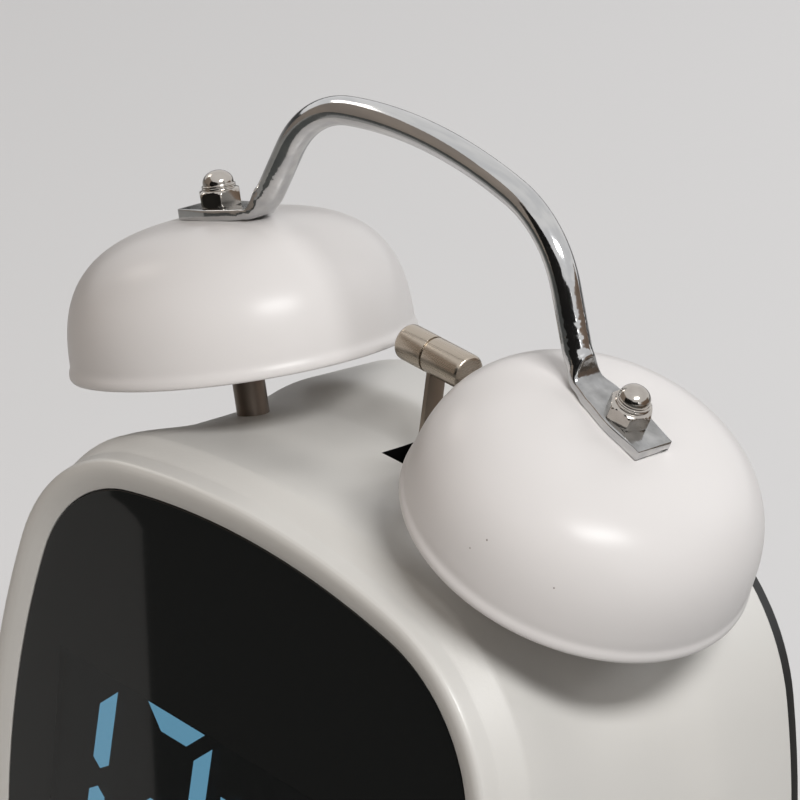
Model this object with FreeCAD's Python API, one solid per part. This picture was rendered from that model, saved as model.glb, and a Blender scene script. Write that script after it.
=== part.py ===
import FreeCAD, Part
import math
import os
from FreeCAD import Placement, Rotation, Vector

# Twin-bell digital alarm clock that rolls away on two driven side wheels.
# Millimetres. X to the clock's right as seen from the front, Y to its back, Z up.
# Origin: on the floor, under the middle of the clock, in the plane of bells and axles.

os.makedirs("parts", exist_ok=True)

# ---------------------------------------------------------------- driving dimensions
# Display window outline: four slightly bulged edges joined by round corners.
window_half_width = 50.0
window_half_height = 54.0
edge_bulge_radius = 130.7
window_corner_radius = 23.3

# Case section from front to back. "grow" is how far the case outline lies outside the window outline.
ridge_to_bells = 28.0
bells_to_rim = 29.5
ridge_proud = 1.2
bezel_width = 4.5
ridge_bevel = 0.4
flange_depth = 3.4
flange_grow = 4.9
land_depth = 7.3
land_grow = 6.5
waist_grow = 5.0
waist_front = 5.0
waist_back = 8.5
shoulder_back = 14.5
shoulder_grow = 6.9
rim_grow = 6.4
case_wall = 2.2
ground_clearance = 5.0

# Display
window_thickness = 2.0
window_gap = 0.1
ledge_width = 3.0
ledge_thickness = 1.5
digit_height = 33.4
digit_width = 16.4
digit_pitch = 21.0
first_digit_x = -37.6
colon_room = 5.0
digit_raise = 2.8
segment_width = 3.5
segment_gap = 1.5
segment_tip = 1.25
bar_gap = 1.9
segment_depth = 1.2
digit_slant = 4.0
colon_side = 3.4
colon_spread = 7.0
block_margin = 3.4
block_thickness = 8.0
block_gap = 0.4
board_thickness = 1.6
display_board_half_width = 51.0
display_board_half_height = 24.0
standoff_radius = 2.4
display_standoff_x = 49.4
display_standoff_z = 20.0
small_screw_radius = 1.0
small_screw_length = 5.0
small_screw_head_radius = 1.9
small_screw_head_height = 1.3

# Bells, posts and dome nuts
bell_spread = 34.9
bell_above_roof = 4.35
bell_tilt = 19.55
bell_radius = 25.3
bell_height = 20.4
bell_fullness = 2.95
bell_wall = 1.0
bell_lip_radius = 25.6
bell_lip_height = 2.2
bell_lip_edge = 0.4
post_radius = 2.4
post_seat_below_rim = 15.0
post_boss_radius = 4.6
stud_radius = 1.5
stud_hole_clearance = 0.1
seat_clearance = 0.05
nut_across_flats = 5.8
right_nut_turn = 16.0
left_nut_turn = -21.0
dome_nut_hex_height = 2.5
dome_nut_collar_radius = 2.5
dome_nut_collar_height = 0.6
dome_nut_dome_radius = 2.27
dome_nut_straight_height = 0.3
dome_nut_cap_height = 1.8
washer_radius = 3.5
washer_thickness = 0.5
plain_nut_height = 2.4
stud_end_length = 1.2

# Carrying handle
handle_rod_radius = 2.1
handle_top_above_roof = 50.8
handle_top_radius = 74.8
handle_corner_radius = 16.7
handle_foot_radius = 6.0
handle_foot_reach = 10.25
handle_leg_lean = 22.6
handle_ahead = 0.2
forged_length = 2.2
forged_slope_run = 3.6
tab_thickness = 1.6
tab_half_width = 3.7
tab_end_half_width = 3.1
tab_outer_length = 6.3
tab_inner_length = 9.0
tab_end_bulge = 0.5
tab_edge_bevel = 0.45

# Hammer and its electromagnet
hammer_above_roof = 16.2
hammer_behind_bells = 5.0
hammer_head_radius = 2.7
hammer_head_half_length = 6.65
hammer_head_chamfer = 0.7
hammer_groove_offset = 1.0
hammer_groove_width = 0.35
hammer_groove_depth = 0.3
arm_width = 3.2
arm_thickness = 0.9
arm_lean = 0.8
pivot_below_roof = 32.0
pivot_pin_radius = 1.5
pivot_clearance = 0.05
pivot_hub_radius = 3.2
slot_half_length = 5.8
slot_half_width = 3.0
bracket_drop = 7.5
bracket_thickness = 1.5
bracket_half_length = 21.0
bracket_half_width = 7.2
bracket_boss_offset = 14.5
bracket_boss_radius = 2.8
cheek_half_length = 5.0
armature_drop = 9.0
armature_half_length = 2.6
armature_half_height = 3.6
coil_radius = 4.6
coil_length = 11.5
core_radius = 2.2
core_face_gap = 1.7
spring_wire_radius = 0.3
spring_coil_radius = 2.4
spring_turns = 2.5
spring_pitch = 0.7
spring_leg_height = 15.0
spring_leg_gap = 0.45
spring_bar_height = 12.5
spring_bar_thickness = 1.2
spring_stop_height = 9.0
spring_stop_thickness = 2.0

# Rear cover and what is fixed to it
cover_inset = 1.1
cover_thickness = 3.0
cover_edge_bevel = 0.8
spigot_gap = 0.2
spigot_wall = 1.5
spigot_depth = 3.0
cover_boss_radius = 3.6
cover_boss_depth = 15.0
cover_boss_overlap = 2.2
cover_screw_radius = 1.45
cover_screw_length = 11.0
cover_screw_head_radius = 2.8
cover_screw_head_height = 1.8
door_half_width = 25.0
door_top_height = 62.0
door_thickness = 1.5
door_tongue = 1.0
door_tongue_thickness = 0.7
door_gap = 0.15
finger_rib_count = 5
finger_rib_pitch = 2.4
bay_half_width = 22.6
bay_bottom = 14.8
bay_top = 61.0
tray_wall = 1.3
tray_depth = 14.5
cell_radius = 5.25
cell_length = 43.5
cell_nub_radius = 1.9
cell_nub_height = 1.0
cell_pitch = 11.0
contact_thickness = 0.4
main_board_half_width = 40.0
main_board_bottom = 76.0
main_board_top = 106.0
main_board_gap = 5.5
main_standoff_x = 36.5
main_standoff_inset = 3.5
button_count = 4
button_pitch = 16.0
button_height = 98.0
button_radius = 3.4
button_hole_gap = 0.3
button_proud = 1.6
button_flange_radius = 4.4
button_flange_thickness = 1.2
button_travel = 1.0
key_half_side = 3.0
key_height = 2.3
key_plunger_radius = 1.6
chip_row_rise = 23.1
chip_thickness = 1.4
chip_spacing = 18.0
clock_chip_x = -3.0
clock_chip_side = 10.0
small_chip_side = 6.0
driver_chip_width = 8.0
driver_chip_height = 5.0
capacitor_x = 28.0
capacitor_spread = 4.5
capacitor_radius = 3.0
capacitor_length = 7.0
switch_x = -20.0
switch_height = 84.0
switch_travel = 4.0
switch_knob_half_width = 1.6
switch_knob_half_height = 2.0
switch_knob_proud = 1.2
switch_body_half_width = 5.0
speaker_x = -38.5
speaker_height = 44.0
speaker_radius = 10.5
speaker_depth = 3.2
speaker_magnet_radius = 6.0
speaker_magnet_depth = 3.4
speaker_collar_wall = 1.2
grille_hole_radius = 0.9
grille_ring_pitch = 2.8

# Drive: wheels, axles, gears, motors and their frame
wheel_radius = 36.0
tyre_width = 12.0
wheel_face_x = 58.5
tyre_section_height = 7.0
tyre_groove_depth = 1.2
tyre_groove_width = 1.6
tread_notch_count = 32
tread_notch_length = 2.6
tread_notch_width = 2.4
rim_ring_height = 3.2
hub_web_thickness = 2.6
hub_boss_radius = 7.5
hub_window_count = 6
hub_window_radius = 5.2
hub_window_circle = 17.3
cap_radius = 6.2
cap_height = 1.8
axle_radius = 2.0
axle_inner_x = 34.0
running_clearance = 0.04
bush_wall = 1.3
bush_flange = 1.0
case_boss_radius = 6.0
case_boss_inner_x = 47.5
case_boss_outer_x = 56.6
frame_wall_x = 36.0
frame_wall = 2.5
frame_floor_height = 17.5
frame_floor = 2.0
frame_half_depth = 13.0
frame_top_height = 62.0
frame_post_x = 24.0
frame_post_y = 9.5
gear_module = 0.6
wheel_gear_teeth = 40
pinion_teeth = 16
gear_width = 4.0
gear_clear_of_wall = 1.0
gear_backlash = 0.14
motor_ahead = 4.0
motor_radius = 8.0
motor_length = 19.0
motor_shaft_radius = 1.0
motor_nose_radius = 3.0
motor_nose_length = 1.5
glide_front = 19.0
glide_back = 21.0
glide_radius = 5.0
glide_pin_radius = 2.0
glide_pin_length = 5.0
glide_bevel = 1.0

# ---------------------------------------------------------------- derived places
case_center_z = ground_clearance + window_half_height + shoulder_grow
roof_top_z = case_center_z + window_half_height + waist_grow
ridge_y = -ridge_to_bells
rim_y = bells_to_rim
window_front_y = ridge_y + ridge_proud
window_back_y = window_front_y + window_thickness
ledge_back_y = window_back_y + ledge_thickness
cover_back_y = rim_y + cover_thickness
far = 400.0


# ---------------------------------------------------------------- small tools
def block(x_range, y_range, z_range):
    size = (x_range[1] - x_range[0], y_range[1] - y_range[0], z_range[1] - z_range[0])
    return Part.makeBox(size[0], size[1], size[2], Vector(x_range[0], y_range[0], z_range[0]))


def rod_x(x_start, x_end, y, z, radius):
    return Part.makeCylinder(radius, x_end - x_start, Vector(x_start, y, z), Vector(1, 0, 0))


def rod_y(y_start, y_end, x, z, radius):
    return Part.makeCylinder(radius, y_end - y_start, Vector(x, y_start, z), Vector(0, 1, 0))


def rod_z(z_start, z_end, x, y, radius):
    return Part.makeCylinder(radius, z_end - z_start, Vector(x, y, z_start), Vector(0, 0, 1))


def joined(shapes):
    return shapes[0].multiFuse(shapes[1:]).removeSplitter()


def mirrored(shape):
    return shape.mirror(Vector(0, 0, 0), Vector(1, 0, 0))


def polygon_face(points):
    return Part.Face(Part.makePolygon(points + [points[0]]))


def turned(profile_points, axis_point, axis):
    return polygon_face(profile_points).revolve(axis_point, axis, 360.0)


def hexagon(across_flats, height, z_start, turn):
    corner = across_flats / math.sqrt(3.0)
    points = []
    for index in range(6):
        angle = math.radians(60.0 * index + turn)
        points.append(Vector(corner * math.cos(angle), corner * math.sin(angle), z_start))
    return polygon_face(points).extrude(Vector(0, 0, height))


def save(name, shapes):
    shape = shapes[0] if len(shapes) == 1 else Part.makeCompound(shapes)
    shape.exportStep("parts/" + name + ".step")


# ---------------------------------------------------------------- case outline and section
def outline(grow, y):
    """Closed wire of the window outline, moved outward by grow, in the plane at depth y."""
    lift = edge_bulge_radius - window_half_height
    shift = edge_bulge_radius - window_half_width
    reach = edge_bulge_radius - window_corner_radius
    span = math.hypot(lift, shift)
    along = math.sqrt(reach ** 2 - span ** 2 / 4.0)
    corner = Vector(-shift / 2.0 + along * lift / span, 0, -lift / 2.0 + along * shift / span)
    to_top = (corner - Vector(0, 0, -lift)).normalize()
    to_side = (corner - Vector(-shift, 0, 0)).normalize()
    between = (to_top + to_side).normalize()
    radius = window_corner_radius + grow
    top_end = corner + to_top * radius
    corner_middle = corner + between * radius
    side_end = corner + to_side * radius
    top_middle = Vector(0, 0, window_half_height + grow)
    side_middle = Vector(window_half_width + grow, 0, 0)

    def at(point, sign_x, sign_z):
        return Vector(point.x * sign_x, y, case_center_z + point.z * sign_z)

    edges = []
    edges.append(Part.Arc(at(top_end, -1, 1), at(top_middle, 1, 1), at(top_end, 1, 1)))
    edges.append(Part.Arc(at(top_end, 1, 1), at(corner_middle, 1, 1), at(side_end, 1, 1)))
    edges.append(Part.Arc(at(side_end, 1, 1), at(side_middle, 1, 1), at(side_end, 1, -1)))
    edges.append(Part.Arc(at(side_end, 1, -1), at(corner_middle, 1, -1), at(top_end, 1, -1)))
    edges.append(Part.Arc(at(top_end, 1, -1), at(top_middle, 1, -1), at(top_end, -1, -1)))
    edges.append(Part.Arc(at(top_end, -1, -1), at(corner_middle, -1, -1), at(side_end, -1, -1)))
    edges.append(Part.Arc(at(side_end, -1, -1), at(side_middle, -1, 1), at(side_end, -1, 1)))
    edges.append(Part.Arc(at(side_end, -1, 1), at(corner_middle, -1, 1), at(top_end, -1, 1)))
    return Part.Wire([edge.toShape() for edge in edges])


def prism(grow, y_start, y_end):
    return Part.Face(outline(grow, y_start)).extrude(Vector(0, y_end - y_start, 0))


def stack(stations):
    """Solid through the outlines of (depth, grow) stations, straight between neighbours."""
    return Part.makeLoft([outline(grow, y) for y, grow in stations], True, True)


waist_steps = 4
case_stations = [
    (ridge_y, bezel_width - ridge_bevel),
    (ridge_y + ridge_bevel, bezel_width),
    (ridge_y + flange_depth, flange_grow),
    (ridge_y + land_depth, land_grow),
]
for step in range(1, waist_steps + 1):
    share = step / waist_steps
    start_y = ridge_y + land_depth
    blend = (1.0 - math.cos(math.pi * share)) / 2.0
    case_stations.append((start_y + (-waist_front - start_y) * share, land_grow + (waist_grow - land_grow) * blend))
case_stations.append((waist_back, waist_grow))
case_stations.append((shoulder_back, shoulder_grow))
case_stations.append((rim_y, rim_grow))


def case_grow(y):
    for (y_low, grow_low), (y_high, grow_high) in zip(case_stations, case_stations[1:]):
        if y_low <= y <= y_high:
            return grow_low + (grow_high - grow_low) * (y - y_low) / (y_high - y_low)
    return rim_grow


def roof_z(x, y):
    arc_center_z = case_center_z + window_half_height - edge_bulge_radius
    return arc_center_z + math.sqrt((edge_bulge_radius + case_grow(y)) ** 2 - x ** 2)


def floor_z(x, y):
    return 2.0 * case_center_z - roof_z(x, y)


case_outside = stack(case_stations)
cavity_stations = [(ledge_back_y, case_grow(ledge_back_y) - case_wall)]
for station_y, station_grow in case_stations:
    if station_y > ledge_back_y:
        cavity_stations.append((station_y, station_grow - case_wall))
cavity_stations.append((rim_y + case_wall, rim_grow - case_wall))
case_cavity = stack(cavity_stations)

# ---------------------------------------------------------------- bell axis on the right side
tilt = math.radians(bell_tilt)
bell_axis = Vector(math.sin(tilt), 0, math.cos(tilt))
bell_inward = Vector(-math.cos(tilt), 0, math.sin(tilt))
bell_rim_center = Vector(bell_spread, 0, roof_top_z + bell_above_roof)
bell_place = Placement(bell_rim_center, Rotation(Vector(0, 1, 0), bell_tilt))


def on_bell_axis(shape):
    placed = shape.copy()
    placed.Placement = bell_place.multiply(placed.Placement)
    return placed


# ---------------------------------------------------------------- display places
digit_center_z = case_center_z + digit_raise
block_front_y = window_back_y + block_gap
block_back_y = block_front_y + block_thickness
display_board_back_y = block_back_y + board_thickness
last_digit_x = first_digit_x + 3 * digit_pitch + colon_room
colon_x = first_digit_x + 1.5 * digit_pitch + colon_room / 2.0
block_half_width = last_digit_x + digit_width / 2.0 + block_margin
block_half_height = digit_height / 2.0 + block_margin
display_screw_places = []
for side_x in (-1, 1):
    for side_z in (-1, 1):
        place_z = case_center_z + side_z * display_standoff_z
        display_screw_places.append((side_x * display_standoff_x, place_z))

# ---------------------------------------------------------------- hammer places
pivot_z = roof_top_z - pivot_below_roof
hammer_z = roof_top_z + hammer_above_roof
slot_center_y = hammer_behind_bells - arm_lean
bracket_top_z = roof_top_z - bracket_drop
bracket_bottom_z = pivot_z - armature_drop - coil_radius - 0.6
armature_z = pivot_z - armature_drop

# ---------------------------------------------------------------- drive places
axle_z = wheel_radius
gear_center_distance = gear_module * (wheel_gear_teeth + pinion_teeth) / 2.0
motor_rise = math.sqrt(gear_center_distance ** 2 - motor_ahead ** 2)
motor_y = -motor_ahead
motor_z = axle_z + motor_rise
gear_x = frame_wall_x + frame_wall + gear_clear_of_wall
bush_radius = axle_radius + bush_wall
frame_post_places = []
for side_x in (-1, 1):
    for side_y in (-1, 1):
        frame_post_places.append((side_x * frame_post_x, side_y * frame_post_y))

# ---------------------------------------------------------------- rear cover places
cover_outline_grow = rim_grow - cover_inset
cover_corner_reach = window_corner_radius + rim_grow - case_wall - cover_boss_overlap


def cover_screw_places():
    """Centres of the four corner screws, on the corner arcs' diagonals."""
    lift = edge_bulge_radius - window_half_height
    shift = edge_bulge_radius - window_half_width
    reach = edge_bulge_radius - window_corner_radius
    span = math.hypot(lift, shift)
    along = math.sqrt(reach ** 2 - span ** 2 / 4.0)
    corner_x = -shift / 2.0 + along * lift / span
    corner_z = -lift / 2.0 + along * shift / span
    offset = cover_corner_reach / math.sqrt(2.0)
    places = []
    for sign_x in (-1, 1):
        for sign_z in (-1, 1):
            places.append((sign_x * (corner_x + offset), case_center_z + sign_z * (corner_z + offset)))
    return places


# ---------------------------------------------------------------- case shell
# Moulded in one piece: bezel, ledge for the window, roof with hammer slot, bosses and rear rim.
def make_case_shell():
    shell = case_outside.cut(case_cavity)
    dish = stack([(window_front_y, 0.0), (ridge_y, bezel_width - ridge_bevel)])
    shell = shell.cut([dish, prism(0.0, ridge_y - 1.0, window_back_y), prism(-ledge_width, ridge_y, 0.0)])
    inner_features = []
    for x, z in display_screw_places:
        inner_features.append(rod_y(window_back_y, block_back_y, x, z, standoff_radius))
    for x, z in cover_screw_places():
        inner_features.append(rod_y(rim_y - cover_boss_depth, rim_y, x, z, cover_boss_radius))
    boss_length = post_seat_below_rim
    boss = Part.makeCylinder(post_boss_radius, boss_length, Vector(0, 0, -post_seat_below_rim))
    boss_right = on_bell_axis(boss)
    inner_features.append(boss_right)
    inner_features.append(mirrored(boss_right))
    for side in (-1, 1):
        boss_x = side * bracket_boss_offset
        inner_features.append(rod_z(bracket_top_z, roof_top_z, boss_x, slot_center_y, bracket_boss_radius))
    for x, y in frame_post_places:
        inner_features.append(rod_z(0.0, frame_floor_height, x, y, standoff_radius))
    inner = Part.makeCompound(inner_features).common(case_outside)
    axle_bosses = [rod_x(case_boss_inner_x, case_boss_outer_x, 0.0, axle_z, case_boss_radius)]
    axle_bosses.append(mirrored(axle_bosses[0]))
    shell = joined([shell] + inner.Solids + axle_bosses)
    holes = []
    slot_y = (slot_center_y - slot_half_width, slot_center_y + slot_half_width)
    holes.append(block((-slot_half_length, slot_half_length), slot_y, (bracket_top_z, roof_top_z + far)))
    post_hole = Part.makeCylinder(post_radius + seat_clearance, far / 4.0, Vector(0, 0, -post_seat_below_rim - 1.0))
    holes.append(on_bell_axis(post_hole))
    holes.append(mirrored(holes[-1]))
    bush_hole = rod_x(0.0, far, 0.0, axle_z, bush_radius + seat_clearance)
    holes.append(bush_hole)
    holes.append(mirrored(bush_hole))
    for y in (-glide_front, glide_back):
        holes.append(rod_z(-1.0, floor_z(0, y) + glide_pin_length + 1.0, 0.0, y, glide_pin_radius + seat_clearance))
    thread_gap = seat_clearance
    for x, z in display_screw_places:
        start = block_back_y - small_screw_length
        holes.append(rod_y(start, block_back_y + 1.0, x, z, small_screw_radius + thread_gap))
    for x, z in cover_screw_places():
        start = rim_y - cover_screw_length
        holes.append(rod_y(start, rim_y + 1.0, x, z, cover_screw_radius + thread_gap))
    for side in (-1, 1):
        hole_x = side * bracket_boss_offset
        top = bracket_top_z + small_screw_length
        holes.append(rod_z(bracket_top_z - 1.0, top, hole_x, slot_center_y, small_screw_radius + thread_gap))
    for x, y in frame_post_places:
        bottom = frame_floor_height - small_screw_length
        holes.append(rod_z(bottom, frame_floor_height + 1.0, x, y, small_screw_radius + thread_gap))
    return shell.cut(holes)


save("case_shell", [make_case_shell()])

# ---------------------------------------------------------------- display window
save("display_window", [prism(-window_gap, window_front_y, window_back_y)])


# ---------------------------------------------------------------- seven-segment digits
def slanted(x, z, center_x):
    return (center_x + x + math.tan(math.radians(digit_slant)) * z, digit_center_z + z)


def segment_points(name):
    """Corner points of one segment about the digit's centre; mitred ends leave a small gap."""
    half_w = digit_width / 2.0
    half_h = digit_height / 2.0
    s = segment_width
    g = segment_gap
    if name == "a":
        points = [(-half_w + bar_gap, half_h), (half_w - bar_gap, half_h)]
        points += [(half_w - bar_gap - s, half_h - s), (-half_w + bar_gap + s, half_h - s)]
    elif name == "d":
        points = [(x, -z) for x, z in segment_points("a")][::-1]
    elif name == "b":
        low = g + segment_tip
        points = [(half_w, half_h - g), (half_w, low), (half_w - s / 2.0, g), (half_w - s, low)]
        points.append((half_w - s, half_h - s - g))
    elif name == "c":
        points = [(x, -z) for x, z in segment_points("b")][::-1]
    elif name == "f":
        points = [(-x, z) for x, z in segment_points("b")][::-1]
    elif name == "e":
        points = [(-x, -z) for x, z in segment_points("b")]
    else:
        inner = half_w - s / 2.0 - g
        points = [(-inner, 0), (-inner + s / 2.0, s / 2.0), (inner - s / 2.0, s / 2.0)]
        points += [(inner, 0), (inner - s / 2.0, -s / 2.0), (-inner + s / 2.0, -s / 2.0)]
    return points


def segment_solid(name, center_x, spread):
    corners = []
    for x, z in segment_points(name):
        place_x, place_z = slanted(x, z, center_x)
        corners.append(Vector(place_x, block_front_y, place_z))
    face = polygon_face(corners)
    if spread:
        face = Part.Face(face.OuterWire.makeOffset2D(spread))
    solid = face.extrude(Vector(0, segment_depth, 0))
    return solid


# The first figure is a half digit: it shows a 1 or nothing.
lit_by_figure = {"0": "abcdef", "1": "bc", "2": "abged"}
shown_time = "1210"
lit_segments = []
dark_segments = []
for index, figure in enumerate(shown_time):
    center_x = first_digit_x + index * digit_pitch + (colon_room if index > 1 else 0.0)
    for name in "abcdefg" if index else "bc":
        bucket = lit_segments if name in lit_by_figure[figure] else dark_segments
        bucket.append(segment_solid(name, center_x, 0.0))
for side in (-1, 1):
    dot_x, dot_z = slanted(0.0, side * colon_spread, colon_x)
    half = colon_side / 2.0
    dot = block((dot_x - half, dot_x + half), (block_front_y, block_front_y + segment_depth), (dot_z - half, dot_z + half))
    lit_segments.append(dot)
save("lit_segments", lit_segments)
save("dark_segments", dark_segments)

block_x = (-block_half_width, block_half_width)
block_z = (digit_center_z - block_half_height, digit_center_z + block_half_height)
digit_block = block(block_x, (block_front_y, block_back_y), block_z)
save("digit_block", [digit_block.cut(lit_segments + dark_segments)])


# ---------------------------------------------------------------- display board on four standoffs
def pan_screw(radius, length, head_radius, head_height):
    """Screw with its head's underside at z = 0, pointing down."""
    shank = Part.makeCylinder(radius, length, Vector(0, 0, -length))
    head = Part.makeCylinder(head_radius, head_height)
    edge_list = [edge for edge in head.Edges if abs(edge.BoundBox.ZMin - head_height) < 1e-6]
    head = head.makeFillet(head_height * 0.4, edge_list)
    cross = [block((-head_radius * 0.6, head_radius * 0.6), (-0.2, 0.2), (head_height * 0.5, head_height + 1))]
    cross.append(block((-0.2, 0.2), (-head_radius * 0.6, head_radius * 0.6), (head_height * 0.5, head_height + 1)))
    return joined([shank, head]).cut(cross)


def placed(shape, position, direction):
    result = shape.copy()
    result.Placement = Placement(position, Rotation(Vector(0, 0, 1), direction))
    return result


board_x = (-display_board_half_width, display_board_half_width)
board_z = (case_center_z - display_board_half_height, case_center_z + display_board_half_height)
display_board = block(board_x, (block_back_y, display_board_back_y), board_z)
board_holes = []
for x, z in display_screw_places:
    board_holes.append(rod_y(block_back_y - 1, display_board_back_y + 1, x, z, small_screw_radius + stud_hole_clearance))
save("display_board", [display_board.cut(board_holes)])

small_screw = pan_screw(small_screw_radius, small_screw_length, small_screw_head_radius, small_screw_head_height)
small_screws = []
for x, z in display_screw_places:
    small_screws.append(placed(small_screw, Vector(x, display_board_back_y, z), Vector(0, 1, 0)))


# ---------------------------------------------------------------- bells
def dome_radius_at(z, radius, height):
    return radius * (1.0 - (z / height) ** bell_fullness) ** (1.0 / bell_fullness)


def dome_height_at(r, radius, height):
    return height * (1.0 - (r / radius) ** bell_fullness) ** (1.0 / bell_fullness)


def dome_curve(radius, height, z_start, r_end, steps):
    """Spline points of the dome from z_start up to radius r_end near the axis."""
    z_end = dome_height_at(r_end, radius, height)
    points = []
    turn_start = math.asin(z_start / height)
    turn_end = math.asin(z_end / height)
    for step in range(steps + 1):
        turn = turn_start + (turn_end - turn_start) * step / steps
        z = height * math.sin(turn)
        points.append(Vector(dome_radius_at(z, radius, height), 0, z))
    points[-1] = Vector(r_end, 0, z_end)
    return points


def make_bell():
    hole = stud_radius + stud_hole_clearance
    inner_radius = bell_radius - bell_wall
    inner_height = bell_height - bell_wall
    outer = dome_curve(bell_radius, bell_height, bell_lip_height, hole, 14)
    inner = dome_curve(inner_radius, inner_height, bell_lip_edge, hole, 14)
    inner_foot = Vector(inner_radius + bell_lip_edge, 0, 0)
    lip_foot = Vector(bell_lip_radius - bell_lip_edge, 0, 0)
    lip_belly = Vector(bell_lip_radius, 0, bell_lip_height * 0.4)
    outer_spline = Part.BSplineCurve()
    outer_spline.interpolate(outer)
    inner_spline = Part.BSplineCurve()
    inner_spline.interpolate(inner)
    edges = [Part.LineSegment(inner[0], inner_foot).toShape(), Part.LineSegment(inner_foot, lip_foot).toShape()]
    edges.append(Part.Arc(lip_foot, lip_belly, outer[0]).toShape())
    edges.append(outer_spline.toShape())
    edges.append(Part.LineSegment(outer[-1], inner[-1]).toShape())
    edges.append(inner_spline.toShape())
    face = Part.Face(Part.Wire(Part.__sortEdges__(edges)))
    return face.revolve(Vector(0, 0, 0), Vector(0, 0, 1), 360.0)


bell_right = on_bell_axis(make_bell())
save("bell_right", [bell_right])
save("bell_left", [mirrored(bell_right)])

# ---------------------------------------------------------------- bell posts, with threaded studs at both ends
seat_top = dome_height_at(post_radius, bell_radius - bell_wall, bell_height - bell_wall)
stack_above_bell = tab_thickness + dome_nut_hex_height
post = Part.makeCylinder(post_radius, post_seat_below_rim + seat_top, Vector(0, 0, -post_seat_below_rim))
inside_thread = washer_thickness + plain_nut_height + stud_end_length
stud_bottom = -post_seat_below_rim - inside_thread
stud_length = bell_height + stack_above_bell - stud_bottom
stud = Part.makeCylinder(stud_radius, stud_length, Vector(0, 0, stud_bottom))
post_right = on_bell_axis(joined([post, stud]))
save("bell_post_right", [post_right])
save("bell_post_left", [mirrored(post_right)])

bore = stud_radius + seat_clearance
washer = Part.makeCylinder(washer_radius, washer_thickness, Vector(0, 0, -post_seat_below_rim - washer_thickness))
washer = washer.cut(Part.makeCylinder(bore, far / 4, Vector(0, 0, -far / 8)))
nut_bottom = -post_seat_below_rim - washer_thickness - plain_nut_height
plain_nut = hexagon(nut_across_flats, plain_nut_height, nut_bottom, 0.0)
plain_nut = plain_nut.cut(Part.makeCylinder(bore, far / 4, Vector(0, 0, -far / 8)))
stud_end_gap = 0.2
nuts_right = [on_bell_axis(washer), on_bell_axis(plain_nut)]
save("post_nuts", nuts_right + [mirrored(nut) for nut in nuts_right])


# ---------------------------------------------------------------- dome nuts on the handle tabs
# Each nut stopped at its own angle when it was tightened.
def make_dome_nut(turn):
    base = bell_height + tab_thickness
    hex_top = base + dome_nut_hex_height
    corner = nut_across_flats / math.sqrt(3.0)
    flat = nut_across_flats / 2.0
    cone_drop = corner - flat
    round_off = [
        Vector(0, 0, base),
        Vector(flat + cone_drop * 0.6, 0, base),
        Vector(corner, 0, base + cone_drop * 0.5),
        Vector(corner, 0, hex_top - cone_drop * 0.9),
        Vector(flat - cone_drop * 0.2, 0, hex_top),
        Vector(0, 0, hex_top),
    ]
    body = hexagon(nut_across_flats, dome_nut_hex_height, base, turn)
    body = body.common(turned(round_off, Vector(0, 0, 0), Vector(0, 0, 1)))
    collar = Part.makeCylinder(dome_nut_collar_radius, dome_nut_collar_height, Vector(0, 0, hex_top))
    dome_start = hex_top + dome_nut_collar_height
    dome = Part.makeCylinder(dome_nut_dome_radius, dome_nut_straight_height, Vector(0, 0, dome_start))
    cap_start = dome_start + dome_nut_straight_height
    cap_radius = (dome_nut_dome_radius ** 2 + dome_nut_cap_height ** 2) / (2.0 * dome_nut_cap_height)
    ball = Part.makeSphere(cap_radius, Vector(0, 0, cap_start + dome_nut_cap_height - cap_radius))
    cap = ball.common(block((-far, far), (-far, far), (cap_start, far)))
    nut = joined([body, collar, dome, cap])
    hole = Part.makeCylinder(bore, dome_nut_hex_height + stud_end_gap, Vector(0, 0, base))
    return nut.cut(hole)


dome_nut_right = on_bell_axis(make_dome_nut(right_nut_turn))
dome_nut_left = mirrored(on_bell_axis(make_dome_nut(left_nut_turn)))
save("dome_nuts", [dome_nut_right, dome_nut_left])


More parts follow.
